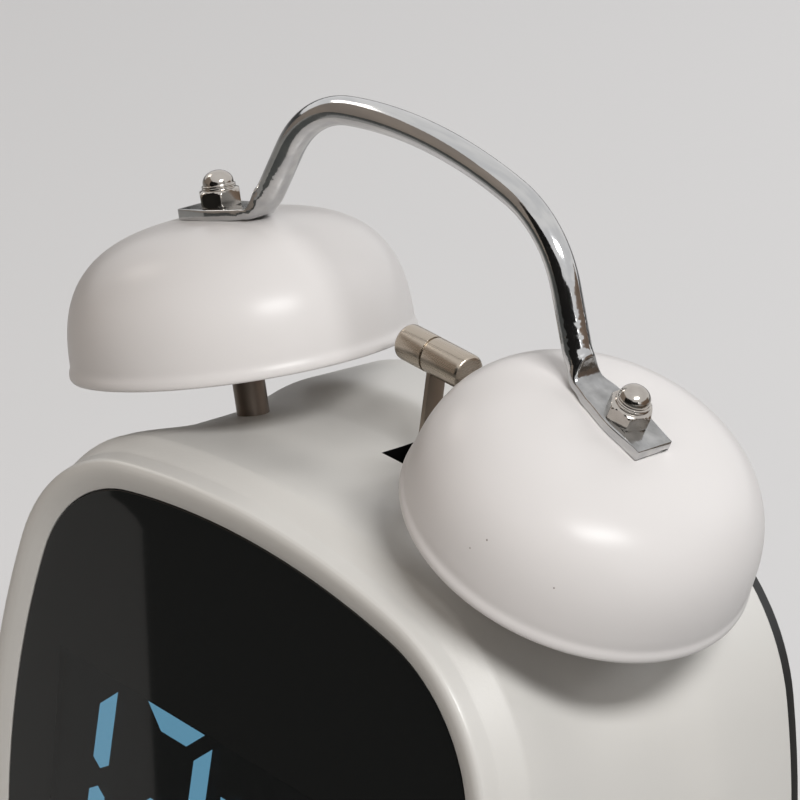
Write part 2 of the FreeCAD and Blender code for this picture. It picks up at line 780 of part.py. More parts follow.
# ---------------------------------------------------------------- carrying handle
# A bent round rod whose two feet are flattened into tabs that lie on the bells.
def make_handle():
    crown = bell_rim_center + bell_axis * bell_height
    foot_line = crown + bell_axis * handle_rod_radius
    knee = foot_line + bell_inward * handle_foot_reach - Vector(0, handle_ahead, 0)
    lean = math.radians(handle_leg_lean)
    leg = Vector(-math.sin(lean), 0, math.cos(lean))
    turn = bell_inward.getAngle(leg)
    cut_back = handle_foot_radius * math.tan(turn / 2.0)
    knee_start = knee - bell_inward * cut_back
    knee_end = knee + leg * cut_back
    inside = (leg - bell_inward).normalize()
    knee_center = knee + inside * (handle_foot_radius / math.cos(turn / 2.0))
    knee_middle = knee_center - inside * handle_foot_radius
    leg_inside = Vector(-math.cos(lean), 0, -math.sin(lean))
    top_z = roof_top_z + handle_top_above_roof
    top_center = Vector(0, -handle_ahead, top_z - handle_top_radius)
    start = knee + leg_inside * handle_corner_radius - top_center
    reach = handle_top_radius - handle_corner_radius
    half_b = start.dot(leg)
    travel = -half_b + math.sqrt(half_b ** 2 - start.dot(start) + reach ** 2)
    corner_center = knee + leg_inside * handle_corner_radius + leg * travel
    leg_end = corner_center - leg_inside * handle_corner_radius
    outward = (corner_center - top_center).normalize()
    top_end = top_center + outward * handle_top_radius
    corner_middle = corner_center + (outward - leg_inside).normalize() * handle_corner_radius
    rod_start = knee_start - bell_inward * forged_length

    def left(point):
        return Vector(-point.x, point.y, point.z)

    edges = [
        Part.LineSegment(left(rod_start), left(knee_start)),
        Part.Arc(left(knee_start), left(knee_middle), left(knee_end)),
        Part.LineSegment(left(knee_end), left(leg_end)),
        Part.Arc(left(leg_end), left(corner_middle), left(top_end)),
        Part.Arc(left(top_end), Vector(0, -handle_ahead, top_z), top_end),
        Part.Arc(top_end, corner_middle, leg_end),
        Part.LineSegment(leg_end, knee_end),
        Part.Arc(knee_end, knee_middle, knee_start),
        Part.LineSegment(knee_start, rod_start),
    ]
    path = Part.Wire([edge.toShape() for edge in edges])
    circle = Part.Circle(left(rod_start), left(bell_inward), handle_rod_radius)
    rod = path.makePipe(Part.Face(Part.Wire(circle.toShape())))
    # the forged slope from the rod down to the tab, in the bell's own frame
    slope_out = cut_back + forged_length - handle_foot_reach
    slope_in = slope_out - forged_slope_run
    tab_top = bell_height + tab_thickness
    rod_top = bell_height + 2 * handle_rod_radius
    clear_top = rod_top + handle_rod_radius
    slope = polygon_face([
        Vector(slope_out, -far / 8, tab_top),
        Vector(slope_in, -far / 8, rod_top),
        Vector(slope_in, -far / 8, clear_top),
        Vector(tab_outer_length, -far / 8, clear_top),
        Vector(tab_outer_length, -far / 8, tab_top),
    ]).extrude(Vector(0, far / 4, 0))
    slope_right = on_bell_axis(slope)
    rod = rod.cut([slope_right, mirrored(slope_right)])
    low = bell_height
    inner_x = -tab_inner_length
    outer_x = tab_outer_length
    corners = [Vector(inner_x, -tab_end_half_width, low), Vector(outer_x, -tab_end_half_width, low)]
    corners += [Vector(outer_x, tab_end_half_width, low), Vector(inner_x, tab_end_half_width, low)]
    middle = (inner_x + outer_x) / 2.0
    tab_edges = [
        Part.Arc(corners[0], Vector(middle, -tab_half_width, low), corners[1]).toShape(),
        Part.Arc(corners[1], Vector(outer_x + tab_end_bulge, 0, low), corners[2]).toShape(),
        Part.Arc(corners[2], Vector(middle, tab_half_width, low), corners[3]).toShape(),
        Part.LineSegment(corners[3], corners[0]).toShape(),
    ]
    tab = Part.Face(Part.Wire(tab_edges)).extrude(Vector(0, 0, tab_thickness))
    rounded = []
    for edge in tab.Edges:
        if edge.BoundBox.ZMin > tab_top - 1e-6 and edge.BoundBox.XMax > inner_x + 1e-6:
            rounded.append(edge)
    tab = tab.makeChamfer(tab_edge_bevel, rounded)
    tab = tab.cut(Part.makeCylinder(stud_radius + stud_hole_clearance, far / 4, Vector(0, 0, 0)))
    tab_right = on_bell_axis(tab)
    return joined([rod, tab_right, mirrored(tab_right)])


save("carry_handle", [make_handle()])


# ---------------------------------------------------------------- hammer: head, arm with its hub, iron armature
def make_hammer_head():
    r = hammer_head_radius
    half = hammer_head_half_length
    c = hammer_head_chamfer
    g = hammer_groove_width / 2.0
    groove_x = -hammer_groove_offset
    deep = r - hammer_groove_depth
    profile = [(-half, 0), (-half, r - c), (-half + c, r), (groove_x - g, r), (groove_x - g, deep)]
    profile += [(groove_x + g, deep), (groove_x + g, r), (half - c, r), (half, r - c), (half, 0)]
    points = [Vector(x, hammer_behind_bells, hammer_z + z) for x, z in profile]
    head = turned(points, Vector(0, hammer_behind_bells, hammer_z), Vector(1, 0, 0))
    arm_front = hammer_behind_bells - arm_width / 2.0
    lean_in_head = arm_lean * hammer_head_radius / hammer_above_roof
    pocket_y = (arm_front - lean_in_head - seat_clearance, arm_front + arm_width + seat_clearance)
    half_slot = arm_thickness / 2.0 + seat_clearance
    pocket = block((-half_slot, half_slot), pocket_y, (hammer_z - far, hammer_z))
    return head.cut(pocket)


save("hammer_head", [make_hammer_head()])

hub_gap = 0.25
hub_half_width = bracket_half_width - bracket_thickness - hub_gap
arm_front_low = slot_center_y - arm_width / 2.0
arm_front_high = hammer_behind_bells - arm_width / 2.0
arm_points = [
    Vector(-arm_thickness / 2.0, arm_front_low, armature_z - armature_half_height),
    Vector(-arm_thickness / 2.0, arm_front_low + arm_width, armature_z - armature_half_height),
    Vector(-arm_thickness / 2.0, arm_front_low + arm_width, roof_top_z - case_wall),
    Vector(-arm_thickness / 2.0, arm_front_high + arm_width, hammer_z),
    Vector(-arm_thickness / 2.0, arm_front_high, hammer_z),
    Vector(-arm_thickness / 2.0, arm_front_low, roof_top_z - case_wall),
]
arm = polygon_face(arm_points).extrude(Vector(arm_thickness, 0, 0))
hub_front_y = slot_center_y - hub_half_width
hub_back_y = arm_front_low + arm_width + 0.3
hub = rod_y(hub_front_y, hub_back_y, 0.0, pivot_z, pivot_hub_radius)
bar_half_width = spring_coil_radius - spring_wire_radius - spring_leg_gap
bar_y = (arm_front_low + arm_width - arm_thickness, slot_center_y + hub_half_width)
bar_z = (pivot_z + spring_bar_height, pivot_z + spring_bar_height + spring_bar_thickness)
bar = block((-bar_half_width, bar_half_width), bar_y, bar_z)
pin_bore = rod_y(-far, far, 0.0, pivot_z, pivot_pin_radius + pivot_clearance)
save("hammer_arm", [joined([arm, hub, bar]).cut(pin_bore)])

armature_y = (slot_center_y - arm_width, slot_center_y + arm_width)
armature_zs = (armature_z - armature_half_height, armature_z + armature_half_height)
armature = block((-armature_half_length, armature_half_length), armature_y, armature_zs)
arm_slit = block(
    (-arm_thickness / 2 - seat_clearance, arm_thickness / 2 + seat_clearance),
    (arm_front_low - seat_clearance, arm_front_low + arm_width + seat_clearance),
    (armature_zs[0] - 1.0, armature_zs[1] + 1.0),
)
save("hammer_armature", [armature.cut(arm_slit)])

# ---------------------------------------------------------------- hammer bracket, pin, spring, coils
plate_y = (slot_center_y - bracket_half_width, slot_center_y + bracket_half_width)
plate_z = (bracket_top_z - bracket_thickness, bracket_top_z)
bracket_parts = [block((-bracket_half_length, bracket_half_length), plate_y, plate_z)]
cheek_z = (pivot_z - pivot_hub_radius - bracket_thickness, bracket_top_z)
for side in (-1, 1):
    edge_y = slot_center_y + side * bracket_half_width
    cheek_y = sorted((edge_y, edge_y - side * bracket_thickness))
    bracket_parts.append(block((-cheek_half_length, cheek_half_length), cheek_y, cheek_z))
    edge_x = side * bracket_half_length
    end_x = sorted((edge_x, edge_x - side * bracket_thickness))
    bracket_parts.append(block(end_x, plate_y, (bracket_bottom_z, bracket_top_z)))
stop_y = (hub_back_y + 0.3, slot_center_y + bracket_half_width)
stop_z = (pivot_z + spring_stop_height, pivot_z + spring_stop_height + spring_stop_thickness)
bracket_parts.append(block((-bar_half_width, bar_half_width), stop_y, stop_z))
bracket = joined(bracket_parts)
bracket_holes = [block((-slot_half_length, slot_half_length),
                       (slot_center_y - slot_half_width, slot_center_y + slot_half_width),
                       (plate_z[0] - 1.0, plate_z[1] + 1.0))]
bracket_holes.append(rod_y(plate_y[0] - 1, plate_y[1] + 1, 0.0, pivot_z, pivot_pin_radius + seat_clearance))
core_hole_radius = core_radius / 2.0 + seat_clearance
for side in (-1, 1):
    hole_x = side * bracket_boss_offset
    screw_hole = small_screw_radius + stud_hole_clearance
    bracket_holes.append(rod_z(plate_z[0] - 1, plate_z[1] + 1, hole_x, slot_center_y, screw_hole))
bracket_holes.append(rod_x(-far, far, slot_center_y, armature_z, core_hole_radius))
save("hammer_bracket", [bracket.cut(bracket_holes)])

pin_overhang = 0.8
pin = rod_y(plate_y[0] - pin_overhang, plate_y[1] + pin_overhang, 0.0, pivot_z, pivot_pin_radius)
save("pivot_pin", [pin])


def make_return_spring():
    """Coil on the pivot pin; its two legs rise beside the arm's bar and the bracket's stop."""
    coil_front_y = hub_back_y + spring_wire_radius + seat_clearance * 5
    steps = int(spring_turns * 12)
    coil_points = []
    for step in range(steps + 1):
        turn = 2.0 * math.pi * spring_turns * step / steps
        along = coil_front_y + spring_pitch * spring_turns * step / steps
        x = spring_coil_radius * math.cos(turn)
        coil_points.append(Vector(x, along, pivot_z - spring_coil_radius * math.sin(turn)))
    coil = Part.BSplineCurve()
    coil.interpolate(coil_points)
    into_coil = coil.tangent(coil.FirstParameter)[0]
    out_of_coil = coil.tangent(coil.LastParameter)[0]
    first_leg_end = coil_points[0] - into_coil * spring_leg_height
    last_leg_end = coil_points[-1] + out_of_coil * spring_leg_height
    first_leg = Part.LineSegment(first_leg_end, coil_points[0]).toShape()
    last_leg = Part.LineSegment(coil_points[-1], last_leg_end).toShape()
    wire = Part.Wire([first_leg, coil.toShape(), last_leg])
    section = Part.Wire(Part.Circle(first_leg_end, into_coil, spring_wire_radius).toShape())
    return wire.makePipeShell([section], True, False)


save("return_spring", [make_return_spring()])

for side in (-1, 1):
    seat = Vector(side * bracket_boss_offset, slot_center_y, plate_z[0])
    small_screws.append(placed(small_screw, seat, Vector(0, 0, -1)))

core_start = armature_half_length + core_face_gap
core_end = bracket_half_length - bracket_thickness
coil_end = core_end - 0.6
coil_start = coil_end - coil_length
cores = []
coils = []
for side in (-1, 1):
    core = rod_x(core_start, core_end, slot_center_y, armature_z, core_radius)
    rivet = rod_x(core_end, core_end + bracket_thickness, slot_center_y, armature_z, core_radius / 2.0)
    core = joined([core, rivet])
    winding = rod_x(coil_start + 1.0, coil_end - 1.0, slot_center_y, armature_z, coil_radius - 0.5)
    cheeks = [rod_x(coil_start, coil_start + 1.0, slot_center_y, armature_z, coil_radius)]
    cheeks.append(rod_x(coil_end - 1.0, coil_end, slot_center_y, armature_z, coil_radius))
    core_way = rod_x(0.0, far, slot_center_y, armature_z, core_radius + seat_clearance)
    coil = joined([winding] + cheeks).cut(core_way)
    cores.append(core if side > 0 else mirrored(core))
    coils.append(coil if side > 0 else mirrored(coil))
save("magnet_cores", cores)
save("magnet_coils", coils)


# ---------------------------------------------------------------- rear cover
main_standoff_places = []
for side in (-1, 1):
    for place_z in (main_board_bottom + main_standoff_inset, main_board_top - main_standoff_inset):
        main_standoff_places.append((side * main_standoff_x, place_z))
button_places = [(index - (button_count - 1) / 2.0) * button_pitch for index in range(button_count)]


def make_rear_cover():
    edge_y = cover_back_y - cover_edge_bevel
    plate = stack([(rim_y, cover_outline_grow), (edge_y, cover_outline_grow),
                   (cover_back_y, cover_outline_grow - cover_edge_bevel)])
    spigot_grow = rim_grow - case_wall - spigot_gap
    spigot = prism(spigot_grow, rim_y - spigot_depth, rim_y).cut(
        prism(spigot_grow - spigot_wall, rim_y - spigot_depth - 1.0, rim_y + 1.0))
    clear_of_bosses = []
    for x, z in cover_screw_places():
        clear_of_bosses.append(rod_y(rim_y - cover_boss_depth, rim_y, x, z, cover_boss_radius + spigot_gap))
    spigot = spigot.cut(clear_of_bosses)
    additions = list(spigot.Solids)
    collar_outer = speaker_radius + seat_clearance + speaker_collar_wall
    collar = rod_y(rim_y - speaker_depth, rim_y, speaker_x, speaker_height, collar_outer)
    additions.append(collar)
    for x, z in main_standoff_places:
        additions.append(rod_y(rim_y - main_board_gap, rim_y, x, z, standoff_radius))
    cover = joined([plate] + additions)
    holes = [rod_y(rim_y - speaker_depth - 1, rim_y, speaker_x, speaker_height, speaker_radius + seat_clearance)]
    holes.append(rod_y(rim_y - 1, cover_back_y + 1, speaker_x, speaker_height, grille_hole_radius))
    for ring in (1, 2, 3):
        for index in range(6 * ring):
            angle = 2.0 * math.pi * index / (6 * ring)
            hole_x = speaker_x + ring * grille_ring_pitch * math.cos(angle)
            hole_z = speaker_height + ring * grille_ring_pitch * math.sin(angle)
            holes.append(rod_y(rim_y - 1, cover_back_y + 1, hole_x, hole_z, grille_hole_radius))
    for x, z in cover_screw_places():
        holes.append(rod_y(rim_y - 1, cover_back_y + 1, x, z, cover_screw_radius + stud_hole_clearance))
        head_seat = cover_back_y - cover_screw_head_height
        holes.append(rod_y(head_seat, cover_back_y + 1, x, z, cover_screw_head_radius + stud_hole_clearance))
    for x in button_places:
        holes.append(rod_y(rim_y - 1, cover_back_y + 1, x, button_height, button_radius + button_hole_gap))
    knob_w = switch_knob_half_width + button_hole_gap
    knob_h = switch_knob_half_height + button_hole_gap
    holes.append(block((switch_x - knob_w, switch_x + switch_travel + knob_w), (rim_y - 1, cover_back_y + 1),
                       (switch_height - knob_h, switch_height + knob_h)))
    for x, z in main_standoff_places:
        start = rim_y - main_board_gap
        holes.append(rod_y(start - 1, start + small_screw_length, x, z, small_screw_radius + seat_clearance))
    door_w = door_half_width + door_gap
    seat_y = cover_back_y - door_thickness - door_gap
    holes.append(block((-door_w, door_w), (seat_y, cover_back_y + 1), (0.0, door_top_height + door_gap)))
    tongue_w = door_half_width + door_tongue + door_gap
    holes.append(block((-tongue_w, tongue_w), (seat_y, seat_y + door_tongue_thickness + 2 * door_gap),
                       (0.0, door_top_height + door_gap)))
    holes.append(block((-bay_half_width, bay_half_width), (rim_y - 1, seat_y + 1), (bay_bottom, bay_top)))
    return cover.cut(holes)


save("rear_cover", [make_rear_cover()])

cover_screw = pan_screw(cover_screw_radius, cover_screw_length, cover_screw_head_radius, cover_screw_head_height)
cover_screws = []
for x, z in cover_screw_places():
    seat = Vector(x, cover_back_y - cover_screw_head_height, z)
    cover_screws.append(placed(cover_screw, seat, Vector(0, 1, 0)))
save("cover_screws", cover_screws)


# ---------------------------------------------------------------- battery door, slides down and off
def make_battery_door():
    front_y = cover_back_y - door_thickness
    door = block((-door_half_width, door_half_width), (front_y, cover_back_y), (0.0, door_top_height))
    tongue_w = door_half_width + door_tongue
    tongues = block((-tongue_w, tongue_w), (front_y, front_y + door_tongue_thickness), (0.0, door_top_height))
    edge_y = cover_back_y - cover_edge_bevel
    limit = stack([(rim_y, cover_outline_grow), (edge_y, cover_outline_grow),
                   (cover_back_y, cover_outline_grow - cover_edge_bevel)])
    door = joined([door, tongues]).common(limit)
    grooves = []
    for index in range(finger_rib_count):
        groove_z = door_top_height - 6.0 - index * finger_rib_pitch
        grooves.append(block((-8.0, 8.0), (cover_back_y - 0.5, cover_back_y + 1), (groove_z, groove_z + 1.0)))
    return door.cut(grooves)


save("battery_door", [make_battery_door()])

# ---------------------------------------------------------------- battery tray, contacts and cells
tray_front = rim_y - tray_depth
tray_outer = block((-bay_half_width - tray_wall, bay_half_width + tray_wall), (tray_front, rim_y),
                   (bay_bottom - tray_wall, bay_top + tray_wall))
tray_inner = block((-bay_half_width, bay_half_width), (tray_front + tray_wall, rim_y + 1), (bay_bottom, bay_top))
save("battery_tray", [tray_outer.cut(tray_inner)])

cell_y = tray_front + tray_wall + cell_radius + 0.3
spring_height = bay_top - bay_bottom - cell_length - cell_nub_height - 2 * contact_thickness - 0.1
cells = []
contacts = []
for index in range(4):
    x = (index - 1.5) * cell_pitch
    upright = index % 2 == 0
    plate_half = cell_pitch / 2.0 - 0.5
    plate_zs = ((bay_bottom, bay_bottom + contact_thickness), (bay_top - contact_thickness, bay_top))
    plates = [block((x - plate_half, x + plate_half), (cell_y - plate_half, cell_y + plate_half), z) for z in plate_zs]
    if upright:
        spring_z = plate_zs[0][1]
        cell_z = spring_z + spring_height
        spring = Part.makeCone(3.6, 2.2, spring_height, Vector(x, cell_y, spring_z))
        hollow = Part.makeCone(3.0, 1.6, spring_height, Vector(x, cell_y, spring_z))
        nub = rod_z(cell_z + cell_length, cell_z + cell_length + cell_nub_height, x, cell_y, cell_nub_radius)
        plates[0] = joined([plates[0], spring.cut(hollow)])
    else:
        spring_z = plate_zs[1][0] - spring_height
        cell_z = plate_zs[0][1] + cell_nub_height + 0.1
        spring = Part.makeCone(2.2, 3.6, spring_height, Vector(x, cell_y, spring_z))
        hollow = Part.makeCone(1.6, 3.0, spring_height, Vector(x, cell_y, spring_z))
        nub = rod_z(cell_z - cell_nub_height, cell_z, x, cell_y, cell_nub_radius)
        plates[1] = joined([plates[1], spring.cut(hollow)])
    contacts += plates
    cells.append(joined([rod_z(cell_z, cell_z + cell_length, x, cell_y, cell_radius), nub]))
save("battery_contacts", contacts)
save("battery_cells", cells)

# ---------------------------------------------------------------- speaker in its collar behind the grille
speaker_back = rim_y - speaker_depth
speaker_body = rod_y(speaker_back, rim_y, speaker_x, speaker_height, speaker_radius)
speaker_hollow = rod_y(speaker_back + 1.2, rim_y + 1, speaker_x, speaker_height, speaker_radius - 1.2)
speaker_cone = rod_y(speaker_back + 1.2, speaker_back + 1.8, speaker_x, speaker_height, speaker_radius - 1.2)
save("speaker_frame", [joined([speaker_body.cut(speaker_hollow), speaker_cone])])
magnet = rod_y(speaker_back - speaker_magnet_depth, speaker_back, speaker_x, speaker_height, speaker_magnet_radius)
save("speaker_magnet", [magnet])

# ---------------------------------------------------------------- main board with keys and chips
board_front = rim_y - main_board_gap - board_thickness
board_back = rim_y - main_board_gap
main_board = block((-main_board_half_width, main_board_half_width), (board_front, board_back),
                   (main_board_bottom, main_board_top))
main_holes = []
for x, z in main_standoff_places:
    main_holes.append(rod_y(board_front - 1, board_back + 1, x, z, small_screw_radius + stud_hole_clearance))
save("main_board", [main_board.cut(main_holes)])

for x, z in main_standoff_places:
    small_screws.append(placed(small_screw, Vector(x, board_front, z), Vector(0, -1, 0)))

keys = []
for x in button_places:
    key_body = block((x - key_half_side, x + key_half_side), (board_back, board_back + key_height),
                     (button_height - key_half_side, button_height + key_half_side))
    plunger = rod_y(board_back + key_height, board_back + key_height + 0.5, x, button_height, key_plunger_radius)
    keys.append(joined([key_body, plunger]))
save("board_keys", keys)

chip_row_z = case_center_z + chip_row_rise
chips = []
for place, side_x, side_z in ((-1, small_chip_side, small_chip_side), (0, clock_chip_side, clock_chip_side),
                              (1, driver_chip_width, driver_chip_height)):
    middle_x = clock_chip_x + place * chip_spacing
    chips.append(block((middle_x - side_x / 2.0, middle_x + side_x / 2.0), (board_front - chip_thickness, board_front),
                       (chip_row_z - side_z / 2.0, chip_row_z + side_z / 2.0)))
for side in (-1, 1):
    chips.append(rod_y(board_front - capacitor_length, board_front, capacitor_x,
                       chip_row_z + side * capacitor_spread, capacitor_radius))
save("board_chips", chips)

# ---------------------------------------------------------------- push buttons and alarm slide switch
flange_back = rim_y - button_hole_gap
flange_front = flange_back - button_flange_thickness
for index, x in enumerate(button_places):
    stem = rod_y(flange_back, cover_back_y + button_proud, x, button_height, button_radius)
    rounded = [edge for edge in stem.Edges if abs(edge.BoundBox.YMin - cover_back_y - button_proud) < 1e-6]
    stem = stem.makeFillet(0.5, rounded)
    flange = rod_y(flange_front, flange_back, x, button_height, button_flange_radius)
    save("button_" + str(index + 1), [joined([stem, flange])])

switch_body_y = (board_back, board_back + 3.0)
switch_body = block((switch_x - switch_body_half_width, switch_x + switch_travel + switch_body_half_width),
                    switch_body_y, (switch_height - 2.6, switch_height + 2.6))
save("switch_body", [switch_body])
knob_y = (switch_body_y[1] + seat_clearance, cover_back_y + switch_knob_proud)
knob = block((switch_x - switch_knob_half_width, switch_x + switch_knob_half_width), knob_y,
             (switch_height - switch_knob_half_height, switch_height + switch_knob_half_height))
save("alarm_switch", [knob])


# ---------------------------------------------------------------- gears
def involute(angle):
    return math.tan(angle) - angle


def gear_solid(teeth, x_start, width, center_y, center_z, first_tooth_angle, bore_radius):
    """Straight spur gear about X; first_tooth_angle is measured from +Y towards +Z."""
    pitch_radius = gear_module * teeth / 2.0
    base_radius = pitch_radius * math.cos(math.radians(20.0))
    tip_radius = pitch_radius + gear_module * 0.95
    root_radius = pitch_radius - gear_module * 1.25
    half_tooth = math.pi / (2 * teeth) - gear_backlash / (4.0 * pitch_radius)
    flank = []
    flank_start = max(base_radius, root_radius)
    for step in range(5):
        radius = flank_start + (tip_radius - flank_start) * step / 4.0
        pressure = math.acos(min(1.0, base_radius / radius))
        half_angle = half_tooth + involute(math.radians(20.0)) - involute(pressure)
        flank.append((radius, half_angle))
    flank.insert(0, (root_radius, flank[0][1] + 0.12 / teeth))
    points = []
    for tooth in range(teeth):
        middle = first_tooth_angle + 2 * math.pi * tooth / teeth
        for radius, half_angle in flank:
            angle = middle - half_angle
            points.append(Vector(x_start, center_y + radius * math.cos(angle), center_z + radius * math.sin(angle)))
        for radius, half_angle in reversed(flank):
            angle = middle + half_angle
            points.append(Vector(x_start, center_y + radius * math.cos(angle), center_z + radius * math.sin(angle)))
    gear = polygon_face(points).extrude(Vector(width, 0, 0))
    return gear.cut(rod_x(x_start - 1, x_start + width + 1, center_y, center_z, bore_radius))


line_angle = math.atan2(motor_rise, motor_y)
wheel_gear = gear_solid(wheel_gear_teeth, gear_x, gear_width, 0.0, axle_z, line_angle, axle_radius + seat_clearance / 2)
pinion_angle = line_angle + math.pi + math.pi / pinion_teeth
pinion = gear_solid(pinion_teeth, gear_x, gear_width, motor_y, motor_z, pinion_angle, motor_shaft_radius + 0.02)
save("wheel_gear_right", [wheel_gear])
save("wheel_gear_left", [mirrored(wheel_gear)])
save("motor_pinion_right", [pinion])
save("motor_pinion_left", [mirrored(pinion)])

# ---------------------------------------------------------------- axles and bushes
axle_end_x = wheel_face_x + tyre_width - 1.0
axle = rod_x(axle_inner_x, axle_end_x, 0.0, axle_z, axle_radius)
save("axle_right", [axle])
save("axle_left", [mirrored(axle)])

outer_bush = rod_x(case_boss_inner_x, case_boss_outer_x, 0.0, axle_z, bush_radius)
outer_flange = rod_x(case_boss_outer_x, case_boss_outer_x + bush_flange, 0.0, axle_z, bush_radius + 1.2)
inner_bush = rod_x(frame_wall_x, frame_wall_x + frame_wall, 0.0, axle_z, bush_radius)
bush_bore = rod_x(0.0, far, 0.0, axle_z, axle_radius + running_clearance)
bushes = [joined([outer_bush, outer_flange]).cut(bush_bore), inner_bush.cut(bush_bore)]
save("axle_bushes", bushes + [mirrored(bush) for bush in bushes])


# ---------------------------------------------------------------- wheels: hub, tyre, cap
def make_hub():
    inner_x = wheel_face_x + 1.0
    outer_x = wheel_face_x + tyre_width - 1.0
    rim_outer = wheel_radius - tyre_section_height
    rim_inner = rim_outer - rim_ring_height
    web_mid = wheel_face_x + tyre_width * 0.55
    web = (web_mid - hub_web_thickness / 2.0, web_mid + hub_web_thickness / 2.0)
    profile = [(inner_x, axle_radius), (inner_x, hub_boss_radius), (web[0], hub_boss_radius + 0.8), (web[0], rim_inner - 0.8)]
    profile += [(inner_x, rim_inner), (inner_x, rim_outer), (outer_x, rim_outer), (outer_x, rim_inner)]
    profile += [(web[1], rim_inner - 0.8), (web[1], hub_boss_radius + 0.8), (outer_x, hub_boss_radius), (outer_x, axle_radius)]
    points = [Vector(x, 0, axle_z + r) for x, r in profile]
    hub_solid = turned(points, Vector(0, 0, axle_z), Vector(1, 0, 0))
    holes = [rod_x(0, far, 0.0, axle_z, axle_radius + seat_clearance / 2)]
    for index in range(hub_window_count):
        angle = 2 * math.pi * index / hub_window_count
        hole_y = hub_window_circle * math.cos(angle)
        hole_z = axle_z + hub_window_circle * math.sin(angle)
        holes.append(rod_x(inner_x - 1, outer_x + 1, hole_y, hole_z, hub_window_radius))
    return hub_solid.cut(holes)


def make_tyre():
    x0 = wheel_face_x
    x1 = wheel_face_x + tyre_width
    low = wheel_radius - tyre_section_height + seat_clearance
    top = wheel_radius
    shoulder = 1.8
    g0 = wheel_face_x + tyre_width / 3.0
    g1 = wheel_face_x + tyre_width * 2.0 / 3.0
    w = tyre_groove_width / 2.0
    deep = top - tyre_groove_depth
    profile = [(x0, low), (x0, top - shoulder), (x0 + shoulder * 0.4, top - shoulder * 0.4), (x0 + shoulder, top)]
    for middle in (g0, g1):
        profile += [(middle - w, top), (middle - w, deep), (middle + w, deep), (middle + w, top)]
    profile += [(x1 - shoulder, top), (x1 - shoulder * 0.4, top - shoulder * 0.4), (x1, top - shoulder), (x1, low)]
    points = [Vector(x, 0, axle_z + r) for x, r in profile]
    tyre = turned(points, Vector(0, 0, axle_z), Vector(1, 0, 0))
    notches = []
    for index in range(tread_notch_count):
        angle = 360.0 * (index + 0.5) / tread_notch_count
        notch_z = (wheel_radius - tyre_groove_depth, wheel_radius + 2.0)
        half = tread_notch_width / 2.0
        pair = [block((x0 - 1, x0 + tread_notch_length), (-half, half), notch_z)]
        pair.append(block((x1 - tread_notch_length, x1 + 1), (-half, half), notch_z))
        for notch in pair:
            notch.Placement = Placement(Vector(0, 0, axle_z), Rotation(Vector(1, 0, 0), angle)).multiply(notch.Placement)
            notches.append(notch)
    return tyre.cut(notches)


def make_cap():
    x0 = wheel_face_x + tyre_width - 1.0
    profile = [(x0, 0), (x0, cap_radius), (x0 + 0.5, cap_radius), (x0 + cap_height * 0.75, cap_radius * 0.7)]
    profile += [(x0 + cap_height, cap_radius * 0.35), (x0 + cap_height, 0)]
    points = [Vector(x, 0, axle_z + r) for x, r in profile]
    return turned(points, Vector(0, 0, axle_z), Vector(1, 0, 0))


for node, shape in (("wheel_hub", make_hub()), ("tyre", make_tyre()), ("hub_cap", make_cap())):
    save(node + "_right", [shape])
    save(node + "_left", [mirrored(shape)])


# ---------------------------------------------------------------- drive frame and motors
def make_drive_frame():
    floor_x = frame_wall_x + frame_wall
    frame_y = (-frame_half_depth, frame_half_depth)
    floor = block((-floor_x, floor_x), frame_y, (frame_floor_height, frame_floor_height + frame_floor))
    wall = block((frame_wall_x, floor_x), frame_y, (frame_floor_height, frame_top_height))
    frame = joined([floor, wall, mirrored(wall)])
    holes = [rod_x(0, far, 0.0, axle_z, bush_radius + seat_clearance)]
    holes.append(rod_x(0, far, motor_y, motor_z, motor_nose_radius + seat_clearance))
    holes += [mirrored(hole) for hole in list(holes)]
    for x, y in frame_post_places:
        hole_z = (frame_floor_height - 1, frame_floor_height + frame_floor + 1)
        holes.append(rod_z(hole_z[0], hole_z[1], x, y, small_screw_radius + stud_hole_clearance))
    return frame.cut(holes)


save("drive_frame", [make_drive_frame()])

for x, y in frame_post_places:
    seat = Vector(x, y, frame_floor_height + frame_floor)
    small_screws.append(placed(small_screw, seat, Vector(0, 0, 1)))
save("small_screws", small_screws)

motor_can = rod_x(frame_wall_x - motor_length, frame_wall_x, motor_y, motor_z, motor_radius)
motor_nose = rod_x(frame_wall_x, frame_wall_x + motor_nose_length, motor_y, motor_z, motor_nose_radius)
shaft_way = rod_x(0, far, motor_y, motor_z, motor_shaft_radius + running_clearance)
motor = joined([motor_can, motor_nose]).cut(shaft_way)
save("motor_right", [motor])
save("motor_left", [mirrored(motor)])
shaft = rod_x(frame_wall_x - motor_length + 2.0, gear_x + gear_width + 0.5, motor_y, motor_z, motor_shaft_radius)
save("motor_shaft_right", [shaft])
save("motor_shaft_left", [mirrored(shaft)])


# ---------------------------------------------------------------- glide studs under the case
def make_glide(y):
    top = floor_z(0, y)
    r = glide_radius
    profile = [(0, 0), (r - glide_bevel, 0), (r, glide_bevel), (r, top), (0, top)]
    points = [Vector(x, y, z) for x, z in profile]
    stud_body = turned(points, Vector(0, y, 0), Vector(0, 0, 1))
    stud_body = stud_body.cut(case_outside)
    stud_pin = rod_z(top - 1.5, top + glide_pin_length, 0.0, y, glide_pin_radius)
    return joined([stud_body, stud_pin])


save("glide_studs", [make_glide(-glide_front), make_glide(glide_back)])
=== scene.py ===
import math
import bpy
import bmesh
from mathutils import Matrix, Vector


